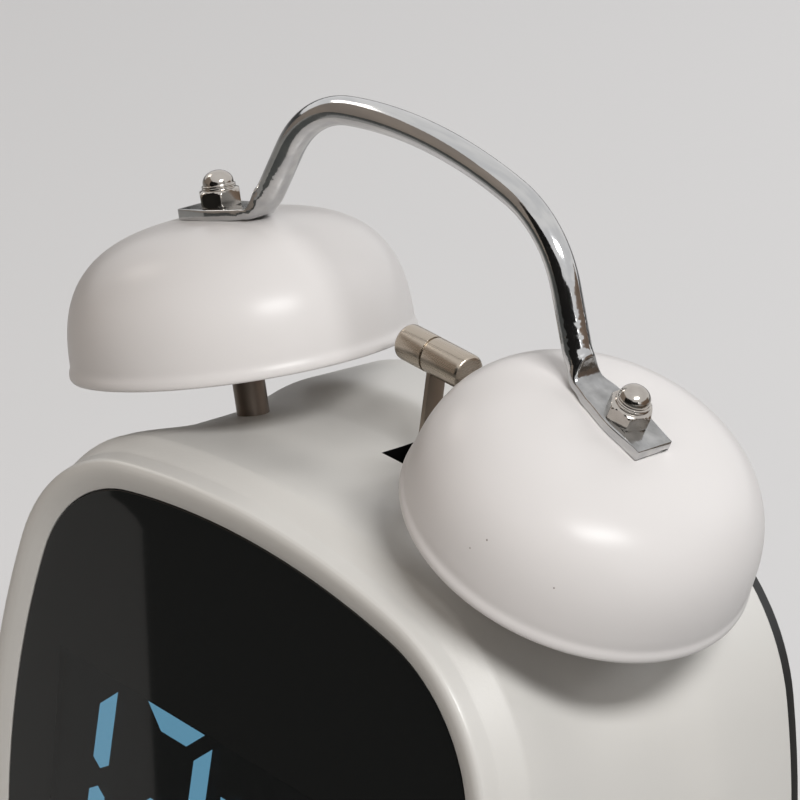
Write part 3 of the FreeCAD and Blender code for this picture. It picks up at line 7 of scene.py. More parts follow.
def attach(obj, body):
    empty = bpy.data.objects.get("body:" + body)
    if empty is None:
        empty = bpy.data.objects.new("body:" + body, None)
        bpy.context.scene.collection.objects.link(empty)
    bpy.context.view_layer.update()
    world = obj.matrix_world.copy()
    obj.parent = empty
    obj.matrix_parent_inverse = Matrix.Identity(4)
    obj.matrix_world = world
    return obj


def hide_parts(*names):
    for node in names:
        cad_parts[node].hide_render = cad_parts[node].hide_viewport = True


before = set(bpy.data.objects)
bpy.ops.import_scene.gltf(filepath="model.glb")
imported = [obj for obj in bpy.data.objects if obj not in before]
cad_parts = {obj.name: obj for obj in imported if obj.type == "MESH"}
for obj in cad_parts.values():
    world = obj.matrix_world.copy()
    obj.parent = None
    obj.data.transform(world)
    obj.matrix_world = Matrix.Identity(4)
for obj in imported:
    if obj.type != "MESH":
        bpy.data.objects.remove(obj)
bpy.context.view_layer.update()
mm = 0.001

# ------------------------------------------------------------------ camera
# A long lens looks down on the clock from its front right, a little tipped. Angles are in radians,
# lengths in metres and the lens in millimetres.
camera_azimuth = 0.796717
camera_elevation = 0.428069
camera_roll = 0.092186
camera_distance = 0.865749
camera_target = Vector((0.0003015, -0.0020639, 0.1362994))
camera_lens = 276.687
sensor_width = 36.0
nearest_seen = 0.05

camera_data = bpy.data.cameras.new("camera")
camera_data.sensor_width = sensor_width
camera_data.lens = camera_lens
camera_data.clip_start = nearest_seen
camera = bpy.data.objects.new("camera", camera_data)
bpy.context.scene.collection.objects.link(camera)
aim = Matrix.Rotation(camera_azimuth, 4, "Z") @ Matrix.Rotation(math.pi / 2 - camera_elevation, 4, "X")
aim = aim @ Matrix.Rotation(camera_roll, 4, "Z")
camera.matrix_world = Matrix.Translation(camera_target) @ aim @ Matrix.Translation((0, 0, camera_distance))
bpy.context.scene.camera = camera
bpy.context.scene.view_settings.view_transform = "Standard"


# ------------------------------------------------------------------ node helpers
# A wire is one socket of a node tree, and sums on wires add Math nodes. A finish is one material, and
# each of its methods adds nodes to it. Patterns lie in object coordinates, in metres.
class Wire:
    """One socket of a node tree; arithmetic on it adds Math nodes."""

    def __init__(self, socket):
        self.socket = socket
        self.tree = socket.id_data

    def math(self, operation, first, second=0.0):
        made = self.tree.nodes.new("ShaderNodeMath")
        made.operation = operation
        for slot, value in zip(made.inputs, (first, second)):
            feed(self.tree, slot, value)
        return Wire(made.outputs[0])

    def __add__(self, other):
        return self.math("ADD", self, other)

    def __radd__(self, other):
        return self.math("ADD", other, self)

    def __sub__(self, other):
        return self.math("SUBTRACT", self, other)

    def __rsub__(self, other):
        return self.math("SUBTRACT", other, self)

    def __mul__(self, other):
        return self.math("MULTIPLY", self, other)

    def __rmul__(self, other):
        return self.math("MULTIPLY", other, self)

    def __abs__(self):
        return self.math("ABSOLUTE", self)

    def under(self, limit):
        """1 where the value is below the limit, else 0."""
        return self.math("LESS_THAN", self, limit)

    def over(self, limit):
        """1 where the value is above the limit, else 0."""
        return self.math("GREATER_THAN", self, limit)

    def ramp(self, low, high):
        """0 at low and below, 1 at high and above, smooth between."""
        made = self.tree.nodes.new("ShaderNodeMapRange")
        made.interpolation_type = "SMOOTHSTEP"
        for slot, value in zip(made.inputs, (self, low, high)):
            feed(self.tree, slot, value)
        return Wire(made.outputs[0])


def feed(tree, slot, value):
    """Links a wire to a node's input, or sets the input's own value."""
    if isinstance(value, Wire):
        tree.links.new(value.socket, slot)
    else:
        slot.default_value = value


class Finish:
    """A material whose nodes are added one after another."""

    def __init__(self, name):
        self.material = bpy.data.materials.new(name)
        self.material.use_nodes = True
        self.tree = self.material.node_tree
        self.shader = self.tree.nodes["Principled BSDF"]

    def add(self, kind, output=0, settings=None, **sockets):
        """Adds a node; sockets are given by name, with spaces as underscores."""
        made = self.tree.nodes.new(kind)
        for key, value in (settings or {}).items():
            setattr(made, key, value)
        for key, value in sockets.items():
            slot = [s for s in made.inputs if s.name == key.replace("_", " ") and s.enabled][0]
            feed(self.tree, slot, value)
        return Wire(made.outputs[output])

    def surface(self, **sockets):
        """Sets the shader's own sockets, by value or by wire."""
        for key, value in sockets.items():
            if key in ("Base_Color", "Emission_Color") and not isinstance(value, Wire):
                value = (*value, 1.0)
            feed(self.tree, self.shader.inputs[key.replace("_", " ")], value)

    def place(self, scale=(1.0, 1.0, 1.0), rotation=(0.0, 0.0, 0.0)):
        """Object coordinates, turned and scaled."""
        spot = self.add("ShaderNodeTexCoord", output=3)
        return self.add("ShaderNodeMapping", Vector=spot, Scale=scale, Rotation=rotation)

    def parts(self, spot):
        """The x, y and z of a place."""
        made = self.tree.nodes.new("ShaderNodeSeparateXYZ")
        feed(self.tree, made.inputs[0], spot)
        return [Wire(made.outputs[index]) for index in range(3)]

    def noise(self, spot, scale, detail=3.0):
        """A soft random pattern from 0 to 1."""
        return self.add("ShaderNodeTexNoise", Vector=spot, Scale=scale, Detail=detail)

    def distance(self, spot, point):
        """How far a place is from a point."""
        made = self.tree.nodes.new("ShaderNodeVectorMath")
        made.operation = "DISTANCE"
        feed(self.tree, made.inputs[0], spot)
        feed(self.tree, made.inputs[1], point)
        return Wire(made.outputs["Value"])

    def spread(self, value, low, high):
        """Maps 0..1 to low..high."""
        return value * (high - low) + low

    def blend(self, share, first, second):
        """Mixes two colours; each is a tuple or a wire."""
        made = self.tree.nodes.new("ShaderNodeMix")
        made.data_type = "RGBA"
        feed(self.tree, made.inputs[0], share)
        for slot, value in ((made.inputs[6], first), (made.inputs[7], second)):
            feed(self.tree, slot, value if isinstance(value, Wire) else (*value, 1.0))
        return Wire(made.outputs[2])

    def bump(self, height, distance, strength):
        """A relief for the shader's normal."""
        return self.add("ShaderNodeBump", Height=height, Distance=distance, Strength=strength)


def toned(colour, share):
    """The colour, paler or deeper by a share of itself."""
    return tuple(channel * share for channel in colour)


def deselect():
    bpy.ops.object.select_all(action="DESELECT")


# ------------------------------------------------------------------ studio
# Pale seamless floor, a weak even room light and six soft boxes, the strongest at the clock's right.
# Sheets on the floor and upright cards stand for the rest of the room. The camera does not see them; they
# show in the metal, the window and the enamel, and only the plaster card also takes part in soft light.
# The floor is paler to the camera than to the light that bounces off it, and the room is brighter in
# mirrors than as a light.
floor_colour = (0.705, 0.700, 0.702)
floor_bounce = (0.47, 0.465, 0.46)
floor_size = (14.0, 14.0)
sheet_mottle = 9.0
sheet_darkest = 0.96
sheet_roughness = 0.9
room_colour = (0.640, 0.635, 0.635)
room_strength = 0.12
room_mirrored = 1.45
light_distance = 1.0
clock_middle = Vector((0.0, 0.0, 0.13))


def studio_sheet(name, size, centre, height, colour, turn=0.0):
    """A flat matt sheet that is part of the studio and not of the clock."""
    deselect()
    bpy.ops.mesh.primitive_plane_add(size=1.0, location=(centre[0], centre[1], height))
    sheet = bpy.context.active_object
    sheet.name = name
    sheet.scale = (size[0], size[1], 1.0)
    sheet.rotation_euler.z = math.radians(turn)
    finish = Finish(name)
    spot = finish.place()
    mottle = finish.noise(spot, sheet_mottle)
    shown = finish.blend(mottle, colour, toned(colour, sheet_darkest))
    if name == "studio_floor":
        seen_by_camera = finish.add("ShaderNodeLightPath")
        shown = finish.blend(seen_by_camera, floor_bounce, shown)
    finish.surface(Base_Color=shown, Roughness=sheet_roughness, Specular_IOR_Level=0.0)
    sheet.data.materials.append(finish.material)
    return sheet


def mirrored_only(sheet, soft_light=False):
    """Hides a sheet from the camera and from shadows, and unless asked from soft light too."""
    sheet.visible_camera = False
    sheet.visible_diffuse = soft_light
    sheet.visible_shadow = False


studio_sheet("studio_floor", floor_size, (0.0, 0.0), 0.0, floor_colour)
for name, size, centre, height, colour, turn in (
    ("grey_table", (1.20, 0.90), (-0.45, -0.50), 0.4 * mm, (0.400, 0.400, 0.390), 0.0),
    ("dark_cloth", (0.90, 0.60), (0.0, -0.40), 0.8 * mm, (0.110, 0.115, 0.112), 38.3),
    ("wooden_board", (0.30, 0.60), (0.36, 0.10), 0.4 * mm, (0.115, 0.090, 0.068), 0.0),
):
    mirrored_only(studio_sheet(name, size, centre, height, colour, turn))

curtain_colour = (0.022, 0.021, 0.020)
plaster_colour = (0.42, 0.36, 0.31)
cupboard_colour = (0.36, 0.27, 0.21)
card_lift = 2.0 * mm
for name, width, height, azimuth, away, colour, soft_light in (
    ("plaster_left", 0.80, 0.60, 225.0, 0.62, plaster_colour, True),
    ("curtain_front", 0.90, 0.50, 275.0, 0.62, curtain_colour, False),
    ("curtain_right", 0.90, 0.45, 322.0, 0.95, curtain_colour, False),
    ("cupboard", 0.75, 0.33, 38.0, 0.62, cupboard_colour, False),
    ("skirting", 3.00, 0.14, 125.0, 2.20, curtain_colour, False),
):
    bearing = math.radians(azimuth)
    centre = (away * math.cos(bearing), away * math.sin(bearing))
    card = studio_sheet(name, (width, height), centre, height / 2.0 + card_lift, colour, azimuth - 90.0)
    card.rotation_euler.x = math.pi / 2.0
    mirrored_only(card, soft_light)

world = bpy.data.worlds.new("room")
bpy.context.scene.world = world
world.use_nodes = True
backdrop = world.node_tree.nodes["Background"]
backdrop.inputs["Color"].default_value = (*room_colour, 1.0)
ray = world.node_tree.nodes.new("ShaderNodeLightPath")
strength = world.node_tree.nodes.new("ShaderNodeMapRange")
strength.inputs["To Min"].default_value = room_strength
strength.inputs["To Max"].default_value = room_mirrored
world.node_tree.links.new(ray.outputs["Is Glossy Ray"], strength.inputs["Value"])
world.node_tree.links.new(strength.outputs["Result"], backdrop.inputs["Strength"])


def soft_box(name, direction, width, height, power, mirrored=True, tint=(1.0, 1.0, 1.0)):
    """A rectangular lamp aimed at the clock's middle; an unmirrored one leaves no highlight."""
    lamp_data = bpy.data.lights.new(name, "AREA")
    lamp_data.shape = "RECTANGLE"
    lamp_data.size = width
    lamp_data.size_y = height
    lamp_data.energy = power
    lamp_data.color = tint
    lamp = bpy.data.objects.new(name, lamp_data)
    bpy.context.scene.collection.objects.link(lamp)
    lamp.visible_glossy = mirrored
    place = clock_middle + direction.normalized() * light_distance
    lamp.matrix_world = Matrix.Translation(place) @ direction.to_track_quat("Z", "Y").to_matrix().to_4x4()


warm = (1.0, 0.93, 0.86)
soft_box("key_box", Vector((0.65, -0.18, 0.74)), 0.44, 0.16, 8.4)
soft_box("fill_box", Vector((-0.86, -0.10, 0.50)), 0.30, 0.25, 0.8, tint=warm)
soft_box("side_strip", Vector((0.92, -0.18, 0.20)), 0.10, 0.12, 0.12)
soft_box("back_left_box", Vector((-0.35, 0.80, 0.55)), 0.50, 0.40, 3.4, False)
soft_box("back_right_box", Vector((0.30, 0.80, 0.58)), 0.50, 0.40, 2.0, False)
soft_box("front_box", Vector((0.25, -0.90, 0.45)), 0.60, 0.50, 2.0, False, warm)


# ------------------------------------------------------------------ case shell
# White ABS moulding: a rounded lip round the window, a flat flange, a sloped band, a waisted body
# and a slot in the roof for the hammer. Inside are bosses for the screws and the bell posts, and a tube
# on each side for the axle bush. The rear cover is screwed to it.
window_half_width = 50.0 * mm
window_half_height = 54.0 * mm
edge_bulge_radius = 130.7 * mm
window_corner_radius = 23.3 * mm
case_middle_height = 65.9 * mm
roof_height = 124.9 * mm
ridge_depth = -28.0 * mm
window_front = ridge_depth + 1.2 * mm
window_back = window_front + 2.0 * mm
slot_size = (11.6 * mm, 6.0 * mm)
slot_middle = 4.2 * mm
slot_rounding = 0.5 * mm
slot_tool_height = 12.0 * mm
band_front = -24.6 * mm
band_back = -20.7 * mm
# How far down and sideways the painted shade in the slot reaches, and its near-black colour.
slot_shade_depth = 8.0 * mm
slot_shade_reach = 0.02 * mm
slot_shade_black = (0.004, 0.004, 0.004)
edge_steps = 22
corner_steps = 16


def start_piece(name, vertices):
    """A small circle in edit mode, ready to be drawn out."""
    deselect()
    bpy.ops.mesh.primitive_circle_add(vertices=vertices, radius=mm)
    piece = bpy.context.active_object
    piece.name = name
    piece.data.name = name
    bpy.ops.object.mode_set(mode="EDIT")
    return piece


def finish_piece(piece, sharp):
    """Closes the seams, turns the faces outward and shades the piece smooth."""
    bpy.ops.mesh.select_all(action="SELECT")
    bpy.ops.mesh.remove_doubles(threshold=0.002 * mm)
    bpy.ops.mesh.normals_make_consistent(inside=False)
    bpy.ops.object.mode_set(mode="OBJECT")
    bpy.ops.object.transform_apply(location=True, rotation=True, scale=True)
    bpy.ops.object.shade_smooth_by_angle(angle=math.radians(sharp))
    return piece


def pick(piece, indices):
    """Selects these points and nothing else."""
    bpy.ops.mesh.select_all(action="DESELECT")
    mesh = bmesh.from_edit_mesh(piece.data)
    mesh.verts.ensure_lookup_table()
    for index in indices:
        mesh.verts[index].select = True
    mesh.select_flush(True)
    bmesh.update_edit_mesh(piece.data)


def skin(name, rings, close, sharp):
    """A skin over rings of points: a circle is laid on the first ring and extruded to each next one.
    Its two ends are capped flat, or run to a point, or close = "round" joins the last ring to the first."""
    piece = start_piece(name, len(rings[0]))
    first = list(range(len(rings[0])))
    row = first
    mesh = bmesh.from_edit_mesh(piece.data)
    mesh.verts.ensure_lookup_table()
    for index, point in zip(row, rings[0]):
        mesh.verts[index].co = point
    for ring in rings[1:] + (rings[:1] if close == "round" else []):
        bpy.ops.mesh.extrude_edges_indiv()
        mesh = bmesh.from_edit_mesh(piece.data)
        mesh.verts.ensure_lookup_table()
        mesh.verts.index_update()
        drawn = []
        for index in row:
            others = [edge.other_vert(mesh.verts[index]) for edge in mesh.verts[index].link_edges]
            drawn.append(next(other.index for other in others if other.select))
        row = drawn
        for index, point in zip(row, ring):
            mesh.verts[index].co = point
    if close != "round":
        for end in (first, row):
            pick(piece, end)
            bpy.ops.mesh.edge_face_add()
            if close == "point":
                bpy.ops.mesh.poke()
    return finish_piece(piece, sharp)


def turned(name, profile, steps, foot, axis, across, sharp=35.0):
    """A round piece: its closed half section of (radius, height) is drawn and spun round the axis."""
    deselect()
    bpy.ops.mesh.primitive_plane_add(size=mm)
    piece = bpy.context.active_object
    piece.name = name
    piece.data.name = name
    bpy.ops.object.mode_set(mode="EDIT")
    bpy.ops.mesh.merge(type="CENTER")
    for radius, height in profile + profile[:1]:
        mesh = bmesh.from_edit_mesh(piece.data)
        for vertex in mesh.verts:
            if vertex.select:
                vertex.co = foot + across * radius + axis * height
        bmesh.update_edit_mesh(piece.data)
        bpy.ops.mesh.extrude_verts_indiv()
    bpy.ops.mesh.select_all(action="SELECT")
    bpy.ops.mesh.remove_doubles(threshold=0.0001 * mm)
    bpy.ops.mesh.spin(steps=steps, angle=2.0 * math.pi, center=foot, axis=axis)
    return finish_piece(piece, sharp)


def eased(corners, steps=4):
    """Corners (a, b, cut) of a closed section; each is drawn as a short curve that cuts it by that much."""
    points = []
    for index, (a, b, cut) in enumerate(corners):
        here = Vector((a, b))
        before = Vector(corners[index - 1][:2])
        after = Vector(corners[(index + 1) % len(corners)][:2])
        if cut == 0.0:
            points.append((a, b))
            continue
        start = here + (before - here).normalized() * cut
        end = here + (after - here).normalized() * cut
        for step in range(steps + 1):
            share = step / steps
            points.append(tuple(start * (1 - share) ** 2 + here * 2 * share * (1 - share) + end * share ** 2))
    return points


def mirrored_copy(piece, name):
    """The same piece on the clock's other side, with its own mesh."""
    deselect()
    piece.select_set(True)
    bpy.context.view_layer.objects.active = piece
    bpy.ops.object.duplicate()
    copy = bpy.context.active_object
    copy.name = name
    copy.data.name = name
    bpy.ops.object.mode_set(mode="EDIT")
    bpy.ops.mesh.select_all(action="SELECT")
    bpy.ops.transform.resize(value=(-1.0, 1.0, 1.0), center_override=(0.0, 0.0, 0.0))
    bpy.ops.mesh.normals_make_consistent(inside=False)
    bpy.ops.object.mode_set(mode="OBJECT")
    return copy


def fit(piece, body, finish, slot, *nodes):
    """Gives a new piece its body and finish, and takes the place of CAD nodes. slot is not used."""
    piece.data.materials.clear()
    piece.data.materials.append(finish.material)
    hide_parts(*nodes)
    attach(piece, body)


def quarter_outline(grow):
    """(x, z) points of the case outline from the middle of its top to the middle of its side."""
    lift = edge_bulge_radius - window_half_height
    shift = edge_bulge_radius - window_half_width
    reach = edge_bulge_radius - window_corner_radius
    span = math.hypot(lift, shift)
    along = math.sqrt(reach ** 2 - span ** 2 / 4.0)
    corner = Vector((-shift / 2.0 + along * lift / span, -lift / 2.0 + along * shift / span))
    to_top = corner + Vector((0.0, lift))
    to_side = corner + Vector((shift, 0.0))
    top_turn = math.atan2(to_top.y, to_top.x)
    side_turn = math.atan2(to_side.y, to_side.x)
    points = []
    for centre, radius, start, end, steps in (
        (Vector((0.0, -lift)), edge_bulge_radius, math.pi / 2.0, top_turn, edge_steps),
        (corner, window_corner_radius, top_turn, side_turn, corner_steps),
        (Vector((-shift, 0.0)), edge_bulge_radius, side_turn, 0.0, edge_steps),
    ):
        for step in range(steps):
            angle = start + (end - start) * step / steps
            points.append(centre + Vector((math.cos(angle), math.sin(angle))) * (radius + grow))
    points.append(Vector((window_half_width + grow, 0.0)))
    return points


def case_ring(depth, grow):
    """Points all round the case outline at one depth, moved out from the window's outline by grow."""
    quarter = quarter_outline(grow)
    half = quarter + [Vector((point.x, -point.y)) for point in quarter[-2::-1]]
    whole = half + [Vector((-point.x, point.y)) for point in half[-2:0:-1]]
    return [Vector((point.x, depth, case_middle_height + point.y)) for point in whole]


def in_mm(corners):
    """Corners given in mm, as metres."""
    return [tuple(value * mm for value in corner) for corner in corners]


# Corners of the shell's section in mm: depth, distance out from the window's outline, and cut. It runs
# from the window's ledge over the lip, the flange, the band and the waist to the rear rim and back inside.
waist_start = -20.7
waist_length = 15.7
waist_reach = 6.5
waist_draw = 1.5
waist_section = []
for step in range(2, 13):
    share = step / 12.0
    drawn_in = waist_draw * (1.0 - math.cos(math.pi * share)) / 2.0
    waist_section.append((waist_start + waist_length * share, waist_reach - drawn_in, 0.0))
case_section = in_mm(
    [(-23.3, -3.0, 0.0), (-24.8, -3.0, 0.0), (-24.8, 0.0, 0.0), (-26.8, 0.0, 0.15), (-27.3, 0.9, 0.3)]
    + [(-27.7, 1.8, 0.3), (-27.9, 2.6, 0.3), (-27.93, 3.2, 0.2), (-27.85, 3.7, 0.2), (-27.65, 4.12, 0.15)]
    + [(-27.3, 4.42, 0.15), (-26.8, 4.55, 0.2), (-24.6, 4.9, 0.4), (-20.7, 6.5, 0.6)] + waist_section
    + [(8.5, 5.0, 3.0), (14.5, 6.9, 2.2), (29.5, 6.4, 0.5), (29.5, 4.2, 0.3), (14.5, 4.7, 1.0)]
    + [(8.5, 2.8, 1.0), (-5.0, 2.8, 1.0), (-20.7, 4.3, 1.0), (-23.3, 3.9, 0.3)]
)
case_shell = skin("case_shell_moulding", [case_ring(*point) for point in eased(case_section)], "round", 40.0)

deselect()
slot_scale = (*slot_size, slot_tool_height)
bpy.ops.mesh.primitive_cube_add(size=1.0, location=(0.0, slot_middle, roof_height), scale=slot_scale)
slot_tool = bpy.context.active_object
bpy.ops.object.transform_apply(location=True, rotation=True, scale=True)
bpy.ops.object.mode_set(mode="EDIT")
tool_mesh = bmesh.from_edit_mesh(slot_tool.data)
bpy.ops.mesh.select_all(action="DESELECT")
for edge in tool_mesh.edges:
    edge.select = abs(edge.verts[0].co.z - edge.verts[1].co.z) > mm
bpy.ops.mesh.bevel(offset=slot_rounding, segments=4)
bpy.ops.object.mode_set(mode="OBJECT")
bpy.context.view_layer.objects.active = case_shell
cut = case_shell.modifiers.new("slot", "BOOLEAN")
cut.object = slot_tool
cut.solver = "EXACT"
bpy.ops.object.modifier_apply(modifier="slot")
bpy.data.objects.remove(slot_tool)

bell_foot = Vector((34.9, 0.0, 129.25)) * mm
bell_tilt = math.radians(19.55)
bell_axis = Vector((math.sin(bell_tilt), 0.0, math.cos(bell_tilt)))
bell_inward = Vector((-math.cos(bell_tilt), 0.0, math.sin(bell_tilt)))
front_to_back = Vector((0.0, 1.0, 0.0))
# Each boss: foot, axis, and in mm its radius, length and bore.
bosses = []
for side in (-1, 1):
    left_right = Vector((side, 0.0, 0.0))
    post_line = Vector((side * bell_axis.x, 0.0, bell_axis.z))
    post_foot = Vector((side * bell_foot.x, 0.0, bell_foot.z)) - post_line * 15.0 * mm
    bosses.append((post_foot, post_line, 4.6, 5.2, 2.45))
    bosses.append((Vector((side * 47.5, 0.0, 36.0)) * mm, left_right, 6.0, 9.1, 3.35))
    bosses.append((Vector((side * 14.5, 4.2, 117.4)) * mm, Vector((0.0, 0.0, 1.0)), 2.8, 5.6, 1.05))
    for height in (45.9, 85.9):
        bosses.append((Vector((side * 49.4, -24.6, height)) * mm, front_to_back, 2.4, 8.2, 1.05))
    for height in (19.8, 112.0):
        bosses.append((Vector((side * 40.8, 14.5, height)) * mm, front_to_back, 3.6, 15.0, 1.5))
    for depth in (-9.5, 9.5):
        bosses.append((Vector((side * 24.0, depth, 9.0)) * mm, Vector((0.0, 0.0, 1.0)), 2.4, 8.5, 1.05))
boss_pieces = []
for foot, axis, radius, length, bore in bosses:
    corners = [(bore, 0.0, 0.0), (radius, 0.0, 0.2), (radius, length, 0.2), (bore, length, 0.0)]
    section = eased(in_mm(corners), 2)
    boss_pieces.append(turned("case_boss", section, 32, foot, axis, axis.orthogonal().normalized()))
deselect()
for piece in boss_pieces:
    piece.select_set(True)
case_shell.select_set(True)
bpy.context.view_layer.objects.active = case_shell
bpy.ops.object.join()


white_plastic = (0.602, 0.588, 0.560)
fine_texture = 5200.0
texture_strength = 0.35


def moulded(name, colour, roughness, texture=fine_texture, relief=0.00002):
    """Moulded plastic: an even fine texture, a faint flow of colour and some glossier patches."""
    finish = Finish(name)
    spot = finish.place()
    grain = finish.noise(spot, texture, 2.0)
    cloud = finish.noise(spot, 24.0)
    finish.surface(
        Base_Color=finish.blend(cloud, toned(colour, 0.97), toned(colour, 1.03)),
        Roughness=finish.spread(cloud, roughness - 0.04, roughness + 0.04),
        Normal=finish.bump(grain, relief, texture_strength),
    )
    return finish


# The band behind the flange is spark-eroded and finely sparkling. The walls of the slot are painted
# near-black down to a depth below the roof: painted shade in the hole.
case_white = moulded("case_white", white_plastic, 0.36)
spot = case_white.place()
wide, deep, high = case_white.parts(spot)
band = deep.over(band_front) * deep.under(band_back)
# Mask of the slot's walls, which are painted near-black as shade.
painted_slot_shade = abs(wide).under(slot_size[0] / 2.0 + slot_shade_reach) * high.over(roof_height - slot_shade_depth)
painted_slot_shade = painted_slot_shade * abs(deep - slot_middle).under(slot_size[1] / 2.0 + slot_shade_reach)
moulded_colour = Wire(case_white.shader.inputs["Base Color"].links[0].from_socket)
sparkle = case_white.noise(spot, 1500.0, 1.0)
grain = case_white.noise(spot, fine_texture, 2.0)
case_white.surface(
    Base_Color=case_white.blend(painted_slot_shade, moulded_colour, slot_shade_black),
    Roughness=case_white.spread(band, 0.34, 0.50),
    Normal=case_white.bump(sparkle * band + grain * 0.3, 0.00006, texture_strength),
)
fit(case_shell, "case", case_white, "case_white", "case_shell")

# ------------------------------------------------------------------ display window
# Smoked acrylic, cut with a small bevel and pressed into the bezel. Its back is printed black,
# save for the field in front of the digits.
digit_height = 68.7 * mm
clear_field = (40.2 * mm, 18.0 * mm)
smoke_tint = (0.24, 0.25, 0.26)
printed_black = (0.0050, 0.0053, 0.0052)
acrylic_ior = 1.49
window_gap = 0.1 * mm
window_bevel = 0.25 * mm

# The last corner only shapes the bevel and is left out again.
window_corners = [(window_back, -window_gap, 0.0), (window_front, -window_gap, window_bevel)]
window_section = eased(window_corners + [(window_front, -1.5 * mm, 0.0)])[:-1]
display_window = skin("display_window_acrylic", [case_ring(*point) for point in window_section], "flat", 30.0)
smoked = Finish("window_black")
spot = smoked.place()
wide, deep, high = smoked.parts(spot)
printed = 1 - abs(wide).under(clear_field[0]) * abs(high - digit_height).under(clear_field[1])
hair = smoked.noise(smoked.place(scale=(900.0, 1.0, 60.0), rotation=(0.0, 0.5, 0.0)), 1.0, 2.0)
smudge = smoked.noise(spot, 30.0)
gloss = smoked.spread(smudge.ramp(0.45, 0.75), 0.035, 0.075)
polish = smoked.bump(hair, 0.000002, 0.15)
smoked.surface(Base_Color=smoke_tint, Transmission_Weight=1.0)
smoked.surface(IOR=acrylic_ior, Roughness=gloss, Normal=polish)
clear_shader = smoked.shader
black_shader = smoked.tree.nodes.new("ShaderNodeBsdfPrincipled")
smoked.shader = black_shader
smoked.surface(Base_Color=printed_black, IOR=acrylic_ior, Roughness=gloss, Normal=polish)
mixed = smoked.tree.nodes.new("ShaderNodeMixShader")
feed(smoked.tree, mixed.inputs[0], printed)
smoked.tree.links.new(clear_shader.outputs[0], mixed.inputs[1])
smoked.tree.links.new(black_shader.outputs[0], mixed.inputs[2])
smoked.tree.links.new(mixed.outputs[0], smoked.tree.nodes["Material Output"].inputs["Surface"])
fit(display_window, "case", smoked, "window_black", "display_window")

# ------------------------------------------------------------------ digits
# Black moulded digit block on the display board behind the window. Each lit bar is a milky light guide
# over a blue lamp; the dark bars are the same guides unlit.
digit_blue = (0.30, 0.72, 1.00)


def dress(finish, *node_names):
    """Gives carried-over cut pieces their finish."""
    for node_name in node_names:
        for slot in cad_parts[node_name].material_slots:
            slot.material = finish.material


digit_lit = Finish("digit_lit")
milk = digit_lit.noise(digit_lit.place(), 160.0)
digit_lit.surface(
    Base_Color=(0.02, 0.03, 0.04),
    Roughness=0.6,
    Emission_Color=digit_lit.blend(milk, toned(digit_blue, 0.94), digit_blue),
    Emission_Strength=1.6,
)
dress(digit_lit, "lit_segments")
dress(moulded("digit_dark", (0.010, 0.011, 0.012), 0.6), "dark_segments")
dress(moulded("digit_block_black", (0.006, 0.006, 0.007), 0.7), "digit_block")

# ------------------------------------------------------------------ bells
# Pressed steel bells in cream enamel, each with its rim rolled over into a small bead and held on its
# post by the dome nut. The enamel is a little uneven, with a few specks of dirt under it. Lengths here
# are in mm.
bell_radius = 25.3
bell_height = 20.4
bell_fullness = 2.95
bell_wall = 1.0
post_clearance = 1.55


def dome(radius, height, low, high, steps):
    """(radius, height) points of the dome between two heights, in mm."""
    start = math.asin(low / height)
    end = math.asin(high / height)
    points = []
    for step in range(steps + 1):
        rise = height * math.sin(start + (end - start) * step / steps)
        points.append((radius * (1.0 - (rise / height) ** bell_fullness) ** (1.0 / bell_fullness), rise))
    return points


# The rolled rim and the groove above it, the dome, the post hole and the dome's inside.
bell_section = (
    [(24.7, 0.35), (24.85, 0.12), (25.1, 0.0), (25.38, 0.07), (25.55, 0.3), (25.6, 0.65), (25.57, 1.05)]
    + [(25.47, 1.4), (25.36, 1.7), (25.29, 2.0), (25.26, 2.35), (25.26, 2.8)]
    + dome(bell_radius, bell_height, 3.3, 20.3999, 46)
    + [(1.6, 20.39), (1.6, 19.38)]
    + dome(bell_radius - bell_wall, bell_height - bell_wall, 0.4, 19.3999, 30)[::-1]
)
bell_section = [(radius * mm, height * mm) for radius, height in bell_section if radius > post_clearance]
bell_right = turned("bell_right_pressing", bell_section, 144, bell_foot, bell_axis, front_to_back, 40.0)
bell_left = mirrored_copy(bell_right, "bell_left_pressing")


def enamel(name, colour, specks):
    """Satin enamel with a faint peel, cloudy gloss and a few dark specks at given places."""
    finish = Finish(name)
    spot = finish.place()
    peel = finish.noise(spot, 700.0, 2.0)
    cloud = finish.noise(spot, 40.0)
    tone = finish.blend(cloud, toned(colour, 0.985), colour)
    for place, size in specks:
        fleck = 1 - finish.distance(spot, Vector(place) * mm).ramp(size * mm, size * 1.8 * mm)
        tone = finish.blend(fleck * 0.75, tone, (0.12, 0.085, 0.06))
    finish.surface(
        Base_Color=tone,
        Roughness=finish.spread(cloud, 0.27, 0.32),
        Specular_IOR_Level=0.20,
        Normal=finish.bump(peel, 0.000012, 0.2),
    )
    return finish


# Each speck: its place on the bell and its radius, in mm.
cream = (0.660, 0.636, 0.624)
right_specks = [((41.72, -23.90, 137.41), 0.10), ((39.51, -24.73, 135.51), 0.08)]
right_specks += [((51.26, -19.96, 133.19), 0.09)]
left_specks = [((-31.0, -19.5, 140.0), 0.08), ((-48.0, -12.0, 136.0), 0.09)]
fit(bell_right, "case", enamel("bell_enamel_right", cream, right_specks), "bell_paint", "bell_right")
fit(bell_left, "case", enamel("bell_enamel_left", cream, left_specks), "bell_paint", "bell_left")

# ------------------------------------------------------------------ bell posts
# Turned steel posts under the bells, chemically darkened, with fine rings left by the lathe.
# Each passes through a boss in the roof and is held by a nut inside the case.


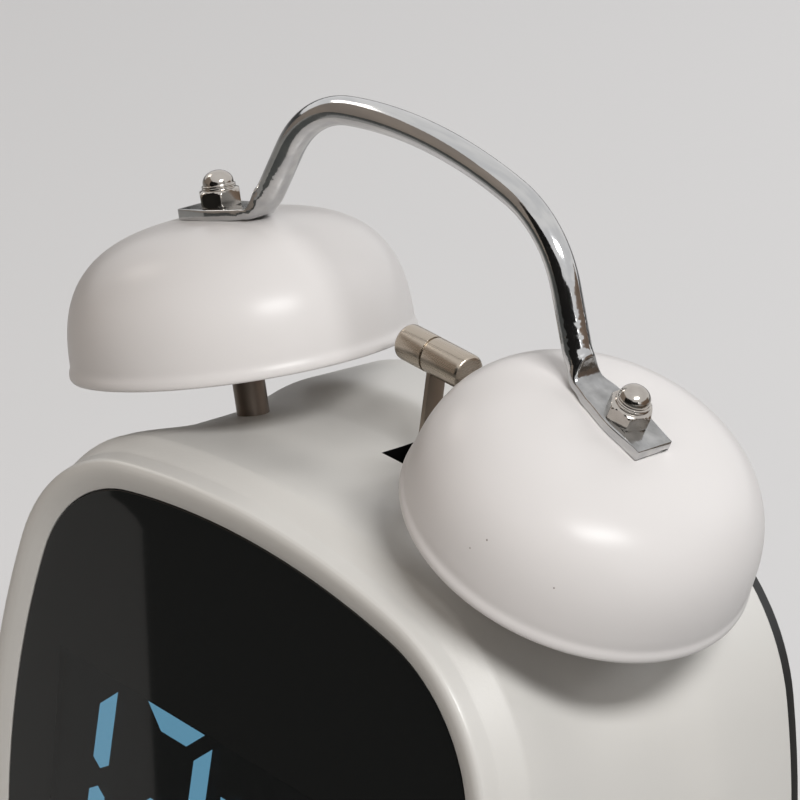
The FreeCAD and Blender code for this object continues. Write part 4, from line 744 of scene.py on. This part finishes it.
def turned_metal(name, colour, roughness, axis_turn, rings=2600.0):
    """Lathe-turned metal: fine rings across its length and faint patches of wear."""
    finish = Finish(name)
    ring_place = finish.place(scale=(30.0, 30.0, rings), rotation=axis_turn)
    ring = finish.noise(ring_place, 1.0, 2.0)
    cloud = finish.noise(finish.place(), 180.0)
    finish.surface(
        Base_Color=finish.blend(cloud, toned(colour, 0.90), colour),
        Metallic=1.0,
        Roughness=finish.spread(ring, roughness - 0.05, roughness + 0.07),
        Normal=finish.bump(ring, 0.000004, 0.35),
    )
    return finish


bronzed = (0.22, 0.18, 0.15)
dress(turned_metal("post_bronzed_right", bronzed, 0.36, (0.0, -bell_tilt, 0.0)), "bell_post_right")
dress(turned_metal("post_bronzed_left", bronzed, 0.36, (0.0, bell_tilt, 0.0)), "bell_post_left")

# ------------------------------------------------------------------ carrying handle
# Chromed steel rod, bent hot. Its two feet are forged flat into tabs under the dome nuts,
# with soft hammer marks where the round rod runs out into the flat. Lengths here are in mm.
rod_radius = 2.1
foot_bend = 6.0
foot_reach = 10.25
leg_lean = math.radians(22.6)
corner_bend = 16.7
top_bend = 74.8
top_height = 175.69
rod_ahead = -0.2
tab_thickness = 1.6
tab_end = 6.35
tab_edge = 0.12
tab_bulge = 0.45
ring_quarter = 10
past_the_foot = 60.0


def between(place, knots):
    """A value that runs smoothly through (place, value) knots."""
    if place <= knots[0][0]:
        return knots[0][1]
    for (low, first), (high, second) in zip(knots, knots[1:]):
        if place <= high:
            share = (place - low) / (high - low)
            return first + (second - first) * share * share * (3.0 - 2.0 * share)
    return knots[-1][1]


def bar_ring(middle, along, along_foot, inset=0.0):
    """One section of the handle: round on the rod, a flat bar on the tab. along_foot is the distance
    from the bell's axis, measured along the rod."""
    up = Vector((along.z, 0.0, -along.x))
    width = between(along_foot, [(-6.4, 3.2), (0.0, 3.62), (5.0, 3.2), (8.0, 2.65), (10.6, rod_radius)])
    width -= inset
    thickness = between(along_foot, [(7.8, tab_thickness), (10.8, 2.0 * rod_radius)])
    upper = between(along_foot, [(-6.4, 0.14), (0.0, 0.4), (7.6, 0.4), (11.0, rod_radius)])
    lower = between(along_foot, [(5.0, 0.15), (8.0, 0.6), (11.0, rod_radius)])
    ahead = rod_ahead * between(along_foot, [(5.0, 0.0), (11.0, 1.0)])
    low = -rod_radius + inset
    high = -rod_radius + thickness - inset
    swell = tab_bulge * between(along_foot, [(-6.4, 1.0), (-5.0, 0.0)])
    corners = ((-1, 1, upper, 180), (1, 1, upper, 90), (1, -1, lower, 0), (-1, -1, lower, -90))
    points = []
    for front, side, cut, start in corners:
        cut_high = min(cut, thickness / 2.0)
        for step in range(ring_quarter):
            angle = math.radians(start - 90.0 * (step + 0.5) / ring_quarter)
            across = front * (width - cut) + cut * math.cos(angle)
            rise = (high if side > 0 else low) - side * cut_high + cut_high * math.sin(angle)
            bulge = swell * (1.0 - (across / width) ** 2)
            points.append((middle + up * rise - along * bulge + Vector((0.0, across + ahead, 0.0))) * mm)
    return points


foot_line = bell_foot / mm + bell_axis * (bell_height + rod_radius)
knee = foot_line + bell_inward * foot_reach
leg = Vector((-math.sin(leg_lean), 0.0, math.cos(leg_lean)))
leg_inside = Vector((-math.cos(leg_lean), 0.0, -math.sin(leg_lean)))
knee_turn = bell_inward.angle(leg)
cut_back = foot_bend * math.tan(knee_turn / 2.0)
knee_middle = knee - bell_inward * cut_back + bell_axis * foot_bend
top_middle = Vector((0.0, 0.0, top_height - top_bend))
offset = knee + leg_inside * corner_bend - top_middle
half_sum = offset.dot(leg)
travel = -half_sum + math.sqrt(half_sum ** 2 - offset.dot(offset) + (top_bend - corner_bend) ** 2)
corner_middle = knee + leg_inside * corner_bend + leg * travel
corner_out = (corner_middle - top_middle).normalized()
leg_angle = math.atan2(-leg_inside.z, -leg_inside.x)
top_angle = math.atan2(corner_out.z, corner_out.x)
straight = foot_reach - cut_back

# The right half of the handle: the tab, the knee, the leg, the upper corner and half of the top arc.
# Each station is a middle, a direction and the distance from the bell's axis along the rod.
stations = [(foot_line - bell_inward * (tab_end - tab_edge), bell_inward, -tab_end + tab_edge)]
for step in range(1, 25):
    place = -tab_end + (straight + tab_end) * step / 25.0
    stations.append((foot_line + bell_inward * place, bell_inward, place))
for step in range(15):
    angle = knee_turn * step / 14.0
    direction = bell_inward * math.cos(angle) + bell_axis * math.sin(angle)
    outward = bell_inward * math.sin(angle) - bell_axis * math.cos(angle)
    stations.append((knee_middle + outward * foot_bend, direction, straight + foot_bend * angle))
rod_start = straight + foot_bend * knee_turn
leg_start = stations[-1][0]
leg_end = corner_middle - leg_inside * corner_bend
for step in range(1, 16):
    place = leg_start.lerp(leg_end, step / 16.0)
    stations.append((place, leg, rod_start + (place - leg_start).length))
for middle_point, radius, first, last, steps in (
    (corner_middle, corner_bend, leg_angle, top_angle, 16),
    (top_middle, top_bend, top_angle, math.pi / 2.0, 24),
):
    for step in range(steps):
        angle = first + (last - first) * step / steps
        outward = Vector((math.cos(angle), 0.0, math.sin(angle)))
        along = Vector((-outward.z, 0.0, outward.x))
        stations.append((middle_point + outward * radius, along, past_the_foot))
stations.append((top_middle + Vector((0.0, 0.0, top_bend)), Vector((-1.0, 0.0, 0.0)), past_the_foot))

right_rings = [bar_ring(foot_line - bell_inward * tab_end, bell_inward, -tab_end, tab_edge)]
right_rings += [bar_ring(*station) for station in stations]
left_rings = [[Vector((-point.x, point.y, point.z)) for point in ring] for ring in right_rings[-2::-1]]
handle = skin("carry_handle_rod", right_rings + left_rings, "flat", 50.0)

# The rod keeps faint lines from drawing. The forged foot is dented. Its flat top is painted a darker grey,
# more so in cloudy patches that are also rougher: a painted dark reflection.
chrome = Finish("handle_chrome")
spot = chrome.place()
drawn = chrome.noise(chrome.place(scale=(0.12, 1.0, 0.7)), 700.0, 2.0)
fine = chrome.noise(spot, 2600.0, 2.0)
wide, deep, high = chrome.parts(spot)
forge_place = knee * mm
right_hand = chrome.add("ShaderNodeVectorMath", settings={"operation": "ABSOLUTE"}, Vector=spot)
forged = 1 - chrome.distance(right_hand, forge_place + Vector((0.0, 0.0, 2.0 * mm))).ramp(3.5 * mm, 8.5 * mm)
tab_top = bell_foot.dot(bell_axis) + (bell_height + tab_thickness - tab_edge) * mm
upper = (abs(wide) * bell_axis.x + high * bell_axis.z).over(tab_top)
flattened = upper * (1 - chrome.distance(right_hand, foot_line * mm).ramp(8.5 * mm, 11.0 * mm))
cloudy_and_painted_dark = flattened * chrome.noise(spot, 330.0, 3.0).ramp(0.25, 0.75)
dents = chrome.noise(spot, 900.0, 1.0)
relief = chrome.bump(drawn * 0.25 + fine * 0.05 + dents * (forged + flattened * 0.15 + 0.12), 0.00012, 0.5)
# The base colour paints the flat tab tops dark grey as a painted dark reflection.
chrome.surface(
    Base_Color=chrome.blend(flattened * 0.25 + cloudy_and_painted_dark * 0.55,
                            chrome.blend(drawn.ramp(0.35, 0.7), (0.50, 0.505, 0.51), (0.59, 0.59, 0.585)),
                            (0.21, 0.21, 0.205)),
    Metallic=1.0,
    Roughness=chrome.spread(fine, 0.06, 0.13) + cloudy_and_painted_dark * 0.12,
    Normal=relief,
)
fit(handle, "case", chrome, "handle_chrome", "carry_handle")

# ------------------------------------------------------------------ dome nuts
# Nickel-plated acorn nuts: a chamfered hexagon, a grooved collar and a low dome, polished after plating.
# Each clamps a tab of the handle and a bell onto the post's thread. Lengths here are in mm.
nut_flat = 2.9
nut_points = 96
nut_corner = 3.3
rounded_from = 26.0
dome_radius = 2.27
dome_foot = 3.4
dome_rise = 1.8
nut_foot = bell_foot + bell_axis * (bell_height + tab_thickness) * mm
hexagon_part = [(3.0, 0.0), (3.12, 0.06), (3.24, 0.18), (3.36, 0.36), (3.36, 0.7), (3.36, 1.4), (3.36, 1.8)]
hexagon_part += [(3.26, 2.02), (3.12, 2.2), (2.94, 2.34), (2.76, 2.44), (2.6, 2.49)]
collar_part = [(2.52, 2.52), (2.5, 2.58), (2.5, 2.76), (2.46, 2.82), (2.42, 2.86), (2.42, 2.9), (2.46, 2.94)]
collar_part += [(2.5, 2.98), (2.48, 3.07), (2.4, 3.12), (2.3, 3.15), (dome_radius, 3.22)]
collar_part += [(dome_radius, dome_foot)]
nut_section = hexagon_part + collar_part
for step in range(1, 15):
    angle = math.radians(90.0 * step / 15.0)
    nut_section.append((dome_radius * math.cos(angle), dome_foot + dome_rise * math.sin(angle)))


def dome_nut(name, turn):
    """A nut on the right-hand tab, its hexagon turned by so many degrees and rounded at the corners."""
    rings = []
    for radius, height in nut_section:
        ring = []
        for step in range(nut_points):
            from_flat = 360.0 * step / nut_points % 60.0 - 30.0
            hexagon = nut_flat / math.cos(math.radians(from_flat))
            if abs(from_flat) > rounded_from:
                hexagon = min(hexagon, nut_corner - 0.004 * (30.0 - abs(from_flat)) ** 2)
            angle = 2.0 * math.pi * step / nut_points + math.radians(turn)
            direction = front_to_back * math.sin(angle) - bell_inward * math.cos(angle)
            ring.append(nut_foot + (direction * min(radius, hexagon) + bell_axis * height) * mm)
        rings.append(ring)
    return skin(name, rings, "point", 28.0)


nut_right = dome_nut("dome_nut_right", 16.0)
nut_left = mirrored_copy(dome_nut("dome_nut_pattern", -21.0), "dome_nut_left")
bpy.data.objects.remove(bpy.data.objects["dome_nut_pattern"])
nickel = Finish("nickel")
spot = nickel.place()
buff = nickel.noise(nickel.place(scale=(500.0, 60.0, 500.0), rotation=(0.0, 0.4, 0.3)), 1.0, 2.0)
cloud = nickel.noise(spot, 700.0)
nickel.surface(
    Base_Color=nickel.blend(cloud, (0.38, 0.35, 0.32), (0.53, 0.50, 0.46)),
    Metallic=1.0,
    Roughness=nickel.spread(buff, 0.09, 0.18),
    Normal=nickel.bump(buff, 0.000006, 0.25),
)
fit(nut_right, "case", nickel, "nickel", "dome_nuts")
fit(nut_left, "case", nickel, "nickel", "dome_nuts")

# ------------------------------------------------------------------ hammer
# Turned nickel-plated head with a groove beside the arm that it is pressed onto. The flat spring-steel
# arm is blackened and waxed, and swings on a pin inside the case.
hammer_foot = Vector((0.0, 5.0, 141.1)) * mm
head_half = 6.65
head_radius = 2.7
head_section = in_mm([(0.0, -head_half, 0.0), (head_radius, -head_half, 0.75), (head_radius, -1.2, 0.06)]
                     + [(2.4, -1.2, 0.03), (2.4, -0.82, 0.03), (head_radius, -0.82, 0.06)]
                     + [(head_radius, head_half, 0.75), (0.0, head_half, 0.0)])
left_to_right = Vector((1.0, 0.0, 0.0))
hammer_head = turned("hammer_head_turned", eased(head_section), 64, hammer_foot, left_to_right, front_to_back)
hammer_nickel = turned_metal("hammer_nickel", (0.48, 0.42, 0.35), 0.27, (0.0, math.pi / 2.0, 0.0))
fit(hammer_head, "hammer", hammer_nickel, "hammer_nickel", "hammer_head")


softened_from = math.radians(32.0)


def softened(node_name, body, finish, slot, width):
    """A copy of a cut piece with its sharp edges rounded over, as tumbling or moulding leaves them."""
    deselect()
    piece = bpy.data.objects.new(node_name + "_finished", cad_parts[node_name].data.copy())
    bpy.context.scene.collection.objects.link(piece)
    piece.select_set(True)
    bpy.context.view_layer.objects.active = piece
    bpy.ops.mesh.customdata_custom_splitnormals_clear()
    bpy.ops.object.mode_set(mode="EDIT")
    bpy.ops.mesh.select_all(action="SELECT")
    bpy.ops.mesh.remove_doubles(threshold=0.0005 * mm)
    bpy.ops.mesh.dissolve_limited(angle_limit=math.radians(0.5))
    bpy.ops.object.mode_set(mode="OBJECT")
    edge = piece.modifiers.new("edge", "BEVEL")
    edge.width = width
    edge.segments = 2
    edge.limit_method = "ANGLE"
    edge.angle_limit = softened_from
    bpy.ops.object.modifier_apply(modifier="edge")
    bpy.ops.object.shade_smooth_by_angle(angle=softened_from)
    piece.data.name = piece.name
    fit(piece, body, finish, slot, node_name)


arm_steel = turned_metal("arm_steel", (0.36, 0.31, 0.26), 0.36, (math.pi / 2.0, 0.0, 0.0), 1800.0)
softened("hammer_arm", "hammer", arm_steel, "arm_steel", 0.12 * mm)

# ------------------------------------------------------------------ rear cover and door
# Black ABS cover with a spark-eroded texture, screwed to the case from behind. The battery door slides
# in its grooves; the buttons and the alarm switch are grey mouldings that stand in its openings.
cover_black = moulded("cover_black", (0.012, 0.0125, 0.013), 0.46, 3200.0, 0.00004)
softened("rear_cover", "case", cover_black, "cover_black", 0.3 * mm)
softened("battery_door", "battery_door", cover_black, "cover_black", 0.25 * mm)
button_grey = moulded("button_grey", (0.19, 0.19, 0.20), 0.42)
for number in range(1, 5):
    softened("button_%d" % number, "button_%d" % number, button_grey, "button_grey", 0.25 * mm)
softened("alarm_switch", "alarm_switch", button_grey, "button_grey", 0.2 * mm)

# ------------------------------------------------------------------ wheels
# White hubs of the case's plastic, pressed onto the axles under a turned cap, in moulded rubber tyres
# that have picked up a little dust.
hub_white = moulded("hub_white", white_plastic, 0.36)
rubber = Finish("tyre_rubber")
spot = rubber.place()
pores = rubber.noise(spot, 2600.0, 2.0)
dust = rubber.noise(spot, 60.0, 5.0).ramp(0.45, 0.75)
rubber.surface(
    Base_Color=rubber.blend(dust, (0.014, 0.014, 0.014), (0.040, 0.038, 0.035)),
    Roughness=rubber.spread(dust, 0.55, 0.78),
    Normal=rubber.bump(pores, 0.00006, 0.5),
)
cap_nickel = turned_metal("cap_nickel", (0.62, 0.60, 0.57), 0.20, (0.0, math.pi / 2.0, 0.0))
for side in ("left", "right"):
    body = "wheel_" + side
    softened("wheel_hub_" + side, body, hub_white, "hub_white", 0.3 * mm)
    softened("tyre_" + side, body, rubber, "tyre_rubber", 0.35 * mm)
    softened("hub_cap_" + side, body, cap_nickel, "nickel", 0.2 * mm)

# ------------------------------------------------------------------ inner works
# Boards, drive, coils, cells and fastenings behind the covers. They keep their cut shapes, and each
# has its own plain stock finish.


def stock_metal(name, colour, roughness, grain=(40.0, 40.0, 900.0)):
    """Sheet or bar metal with a fine rolled grain and faint stains."""
    finish = Finish(name)
    roll = finish.noise(finish.place(scale=grain), 1.0, 3.0)
    stain = finish.noise(finish.place(), 90.0)
    finish.surface(
        Base_Color=finish.blend(stain, toned(colour, 0.86), colour),
        Metallic=1.0,
        Roughness=finish.spread(roll, roughness - 0.06, roughness + 0.10),
        Normal=finish.bump(roll, 0.000006, 0.3),
    )
    return finish


def striped(name, first, second, pitch, axis, roughness, metallic):
    """Even fine stripes along one axis, as on wound wire or a printed jacket."""
    finish = Finish(name)
    along = finish.parts(finish.place())[axis]
    wave = finish.add("ShaderNodeMath", settings={"operation": "SINE"}, Value=along * (2.0 * math.pi / pitch))
    share = wave * 0.5 + 0.5
    finish.surface(Base_Color=finish.blend(share, first, second), Metallic=metallic, Roughness=roughness,
                   Normal=finish.bump(share, pitch * 0.4, 0.6))
    return finish


board = Finish("board_green")
spot = board.place()
copper_lines = board.noise(board.place(scale=(1.0, 1.0, 4.0)), 260.0, 0.0).ramp(0.50, 0.53)
board.surface(
    Base_Color=board.blend(copper_lines, (0.012, 0.085, 0.035), (0.022, 0.130, 0.055)),
    Roughness=board.spread(board.noise(spot, 40.0), 0.30, 0.42),
    Normal=board.bump(copper_lines, 0.00003, 0.4),
)
dress(board, "display_board", "main_board")
dress(moulded("chip_black", (0.018, 0.018, 0.019), 0.50, 2600.0), "board_chips")
dress(moulded("key_plastic", (0.42, 0.06, 0.05), 0.40), "board_keys")
dress(moulded("frame_plastic", (0.085, 0.085, 0.09), 0.50), "drive_frame")
dress(moulded("gear_acetal", (0.74, 0.72, 0.66), 0.42), "wheel_gear_left", "wheel_gear_right")
dress(moulded("tray_black", (0.018, 0.018, 0.018), 0.52), "battery_tray")
dress(moulded("speaker_black", (0.026, 0.026, 0.027), 0.68, 1500.0, 0.0001), "speaker_frame")
dress(moulded("foot_rubber", (0.018, 0.018, 0.018), 0.72, 2200.0, 0.00006), "glide_studs")
dress(stock_metal("screw_steel", (0.55, 0.55, 0.54), 0.32), "small_screws", "cover_screws", "post_nuts")
dress(stock_metal("bracket_steel", (0.50, 0.50, 0.49), 0.38), "hammer_bracket")
dress(stock_metal("contact_steel", (0.62, 0.61, 0.58), 0.28),
      "battery_contacts", "switch_body", "return_spring")
dress(stock_metal("axle_steel", (0.56, 0.56, 0.56), 0.22, (900.0, 40.0, 40.0)),
      "axle_left", "axle_right", "pivot_pin", "motor_shaft_left", "motor_shaft_right")
dress(stock_metal("soft_iron", (0.20, 0.195, 0.19), 0.48),
      "hammer_armature", "magnet_cores", "speaker_magnet")
dress(stock_metal("motor_can", (0.56, 0.56, 0.55), 0.30), "motor_left", "motor_right")
dress(stock_metal("pinion_brass", (0.62, 0.44, 0.17), 0.30), "motor_pinion_left", "motor_pinion_right")
dress(stock_metal("bush_bronze", (0.47, 0.30, 0.14), 0.42), "axle_bushes")
dress(striped("copper_wire", (0.30, 0.10, 0.04), (0.58, 0.25, 0.11), 0.3 * mm, 0, 0.32, 0.9),
      "magnet_coils")
dress(striped("cell_jacket", (0.030, 0.065, 0.21), (0.040, 0.080, 0.25), 9.0 * mm, 0, 0.30, 0.0),
      "battery_cells")
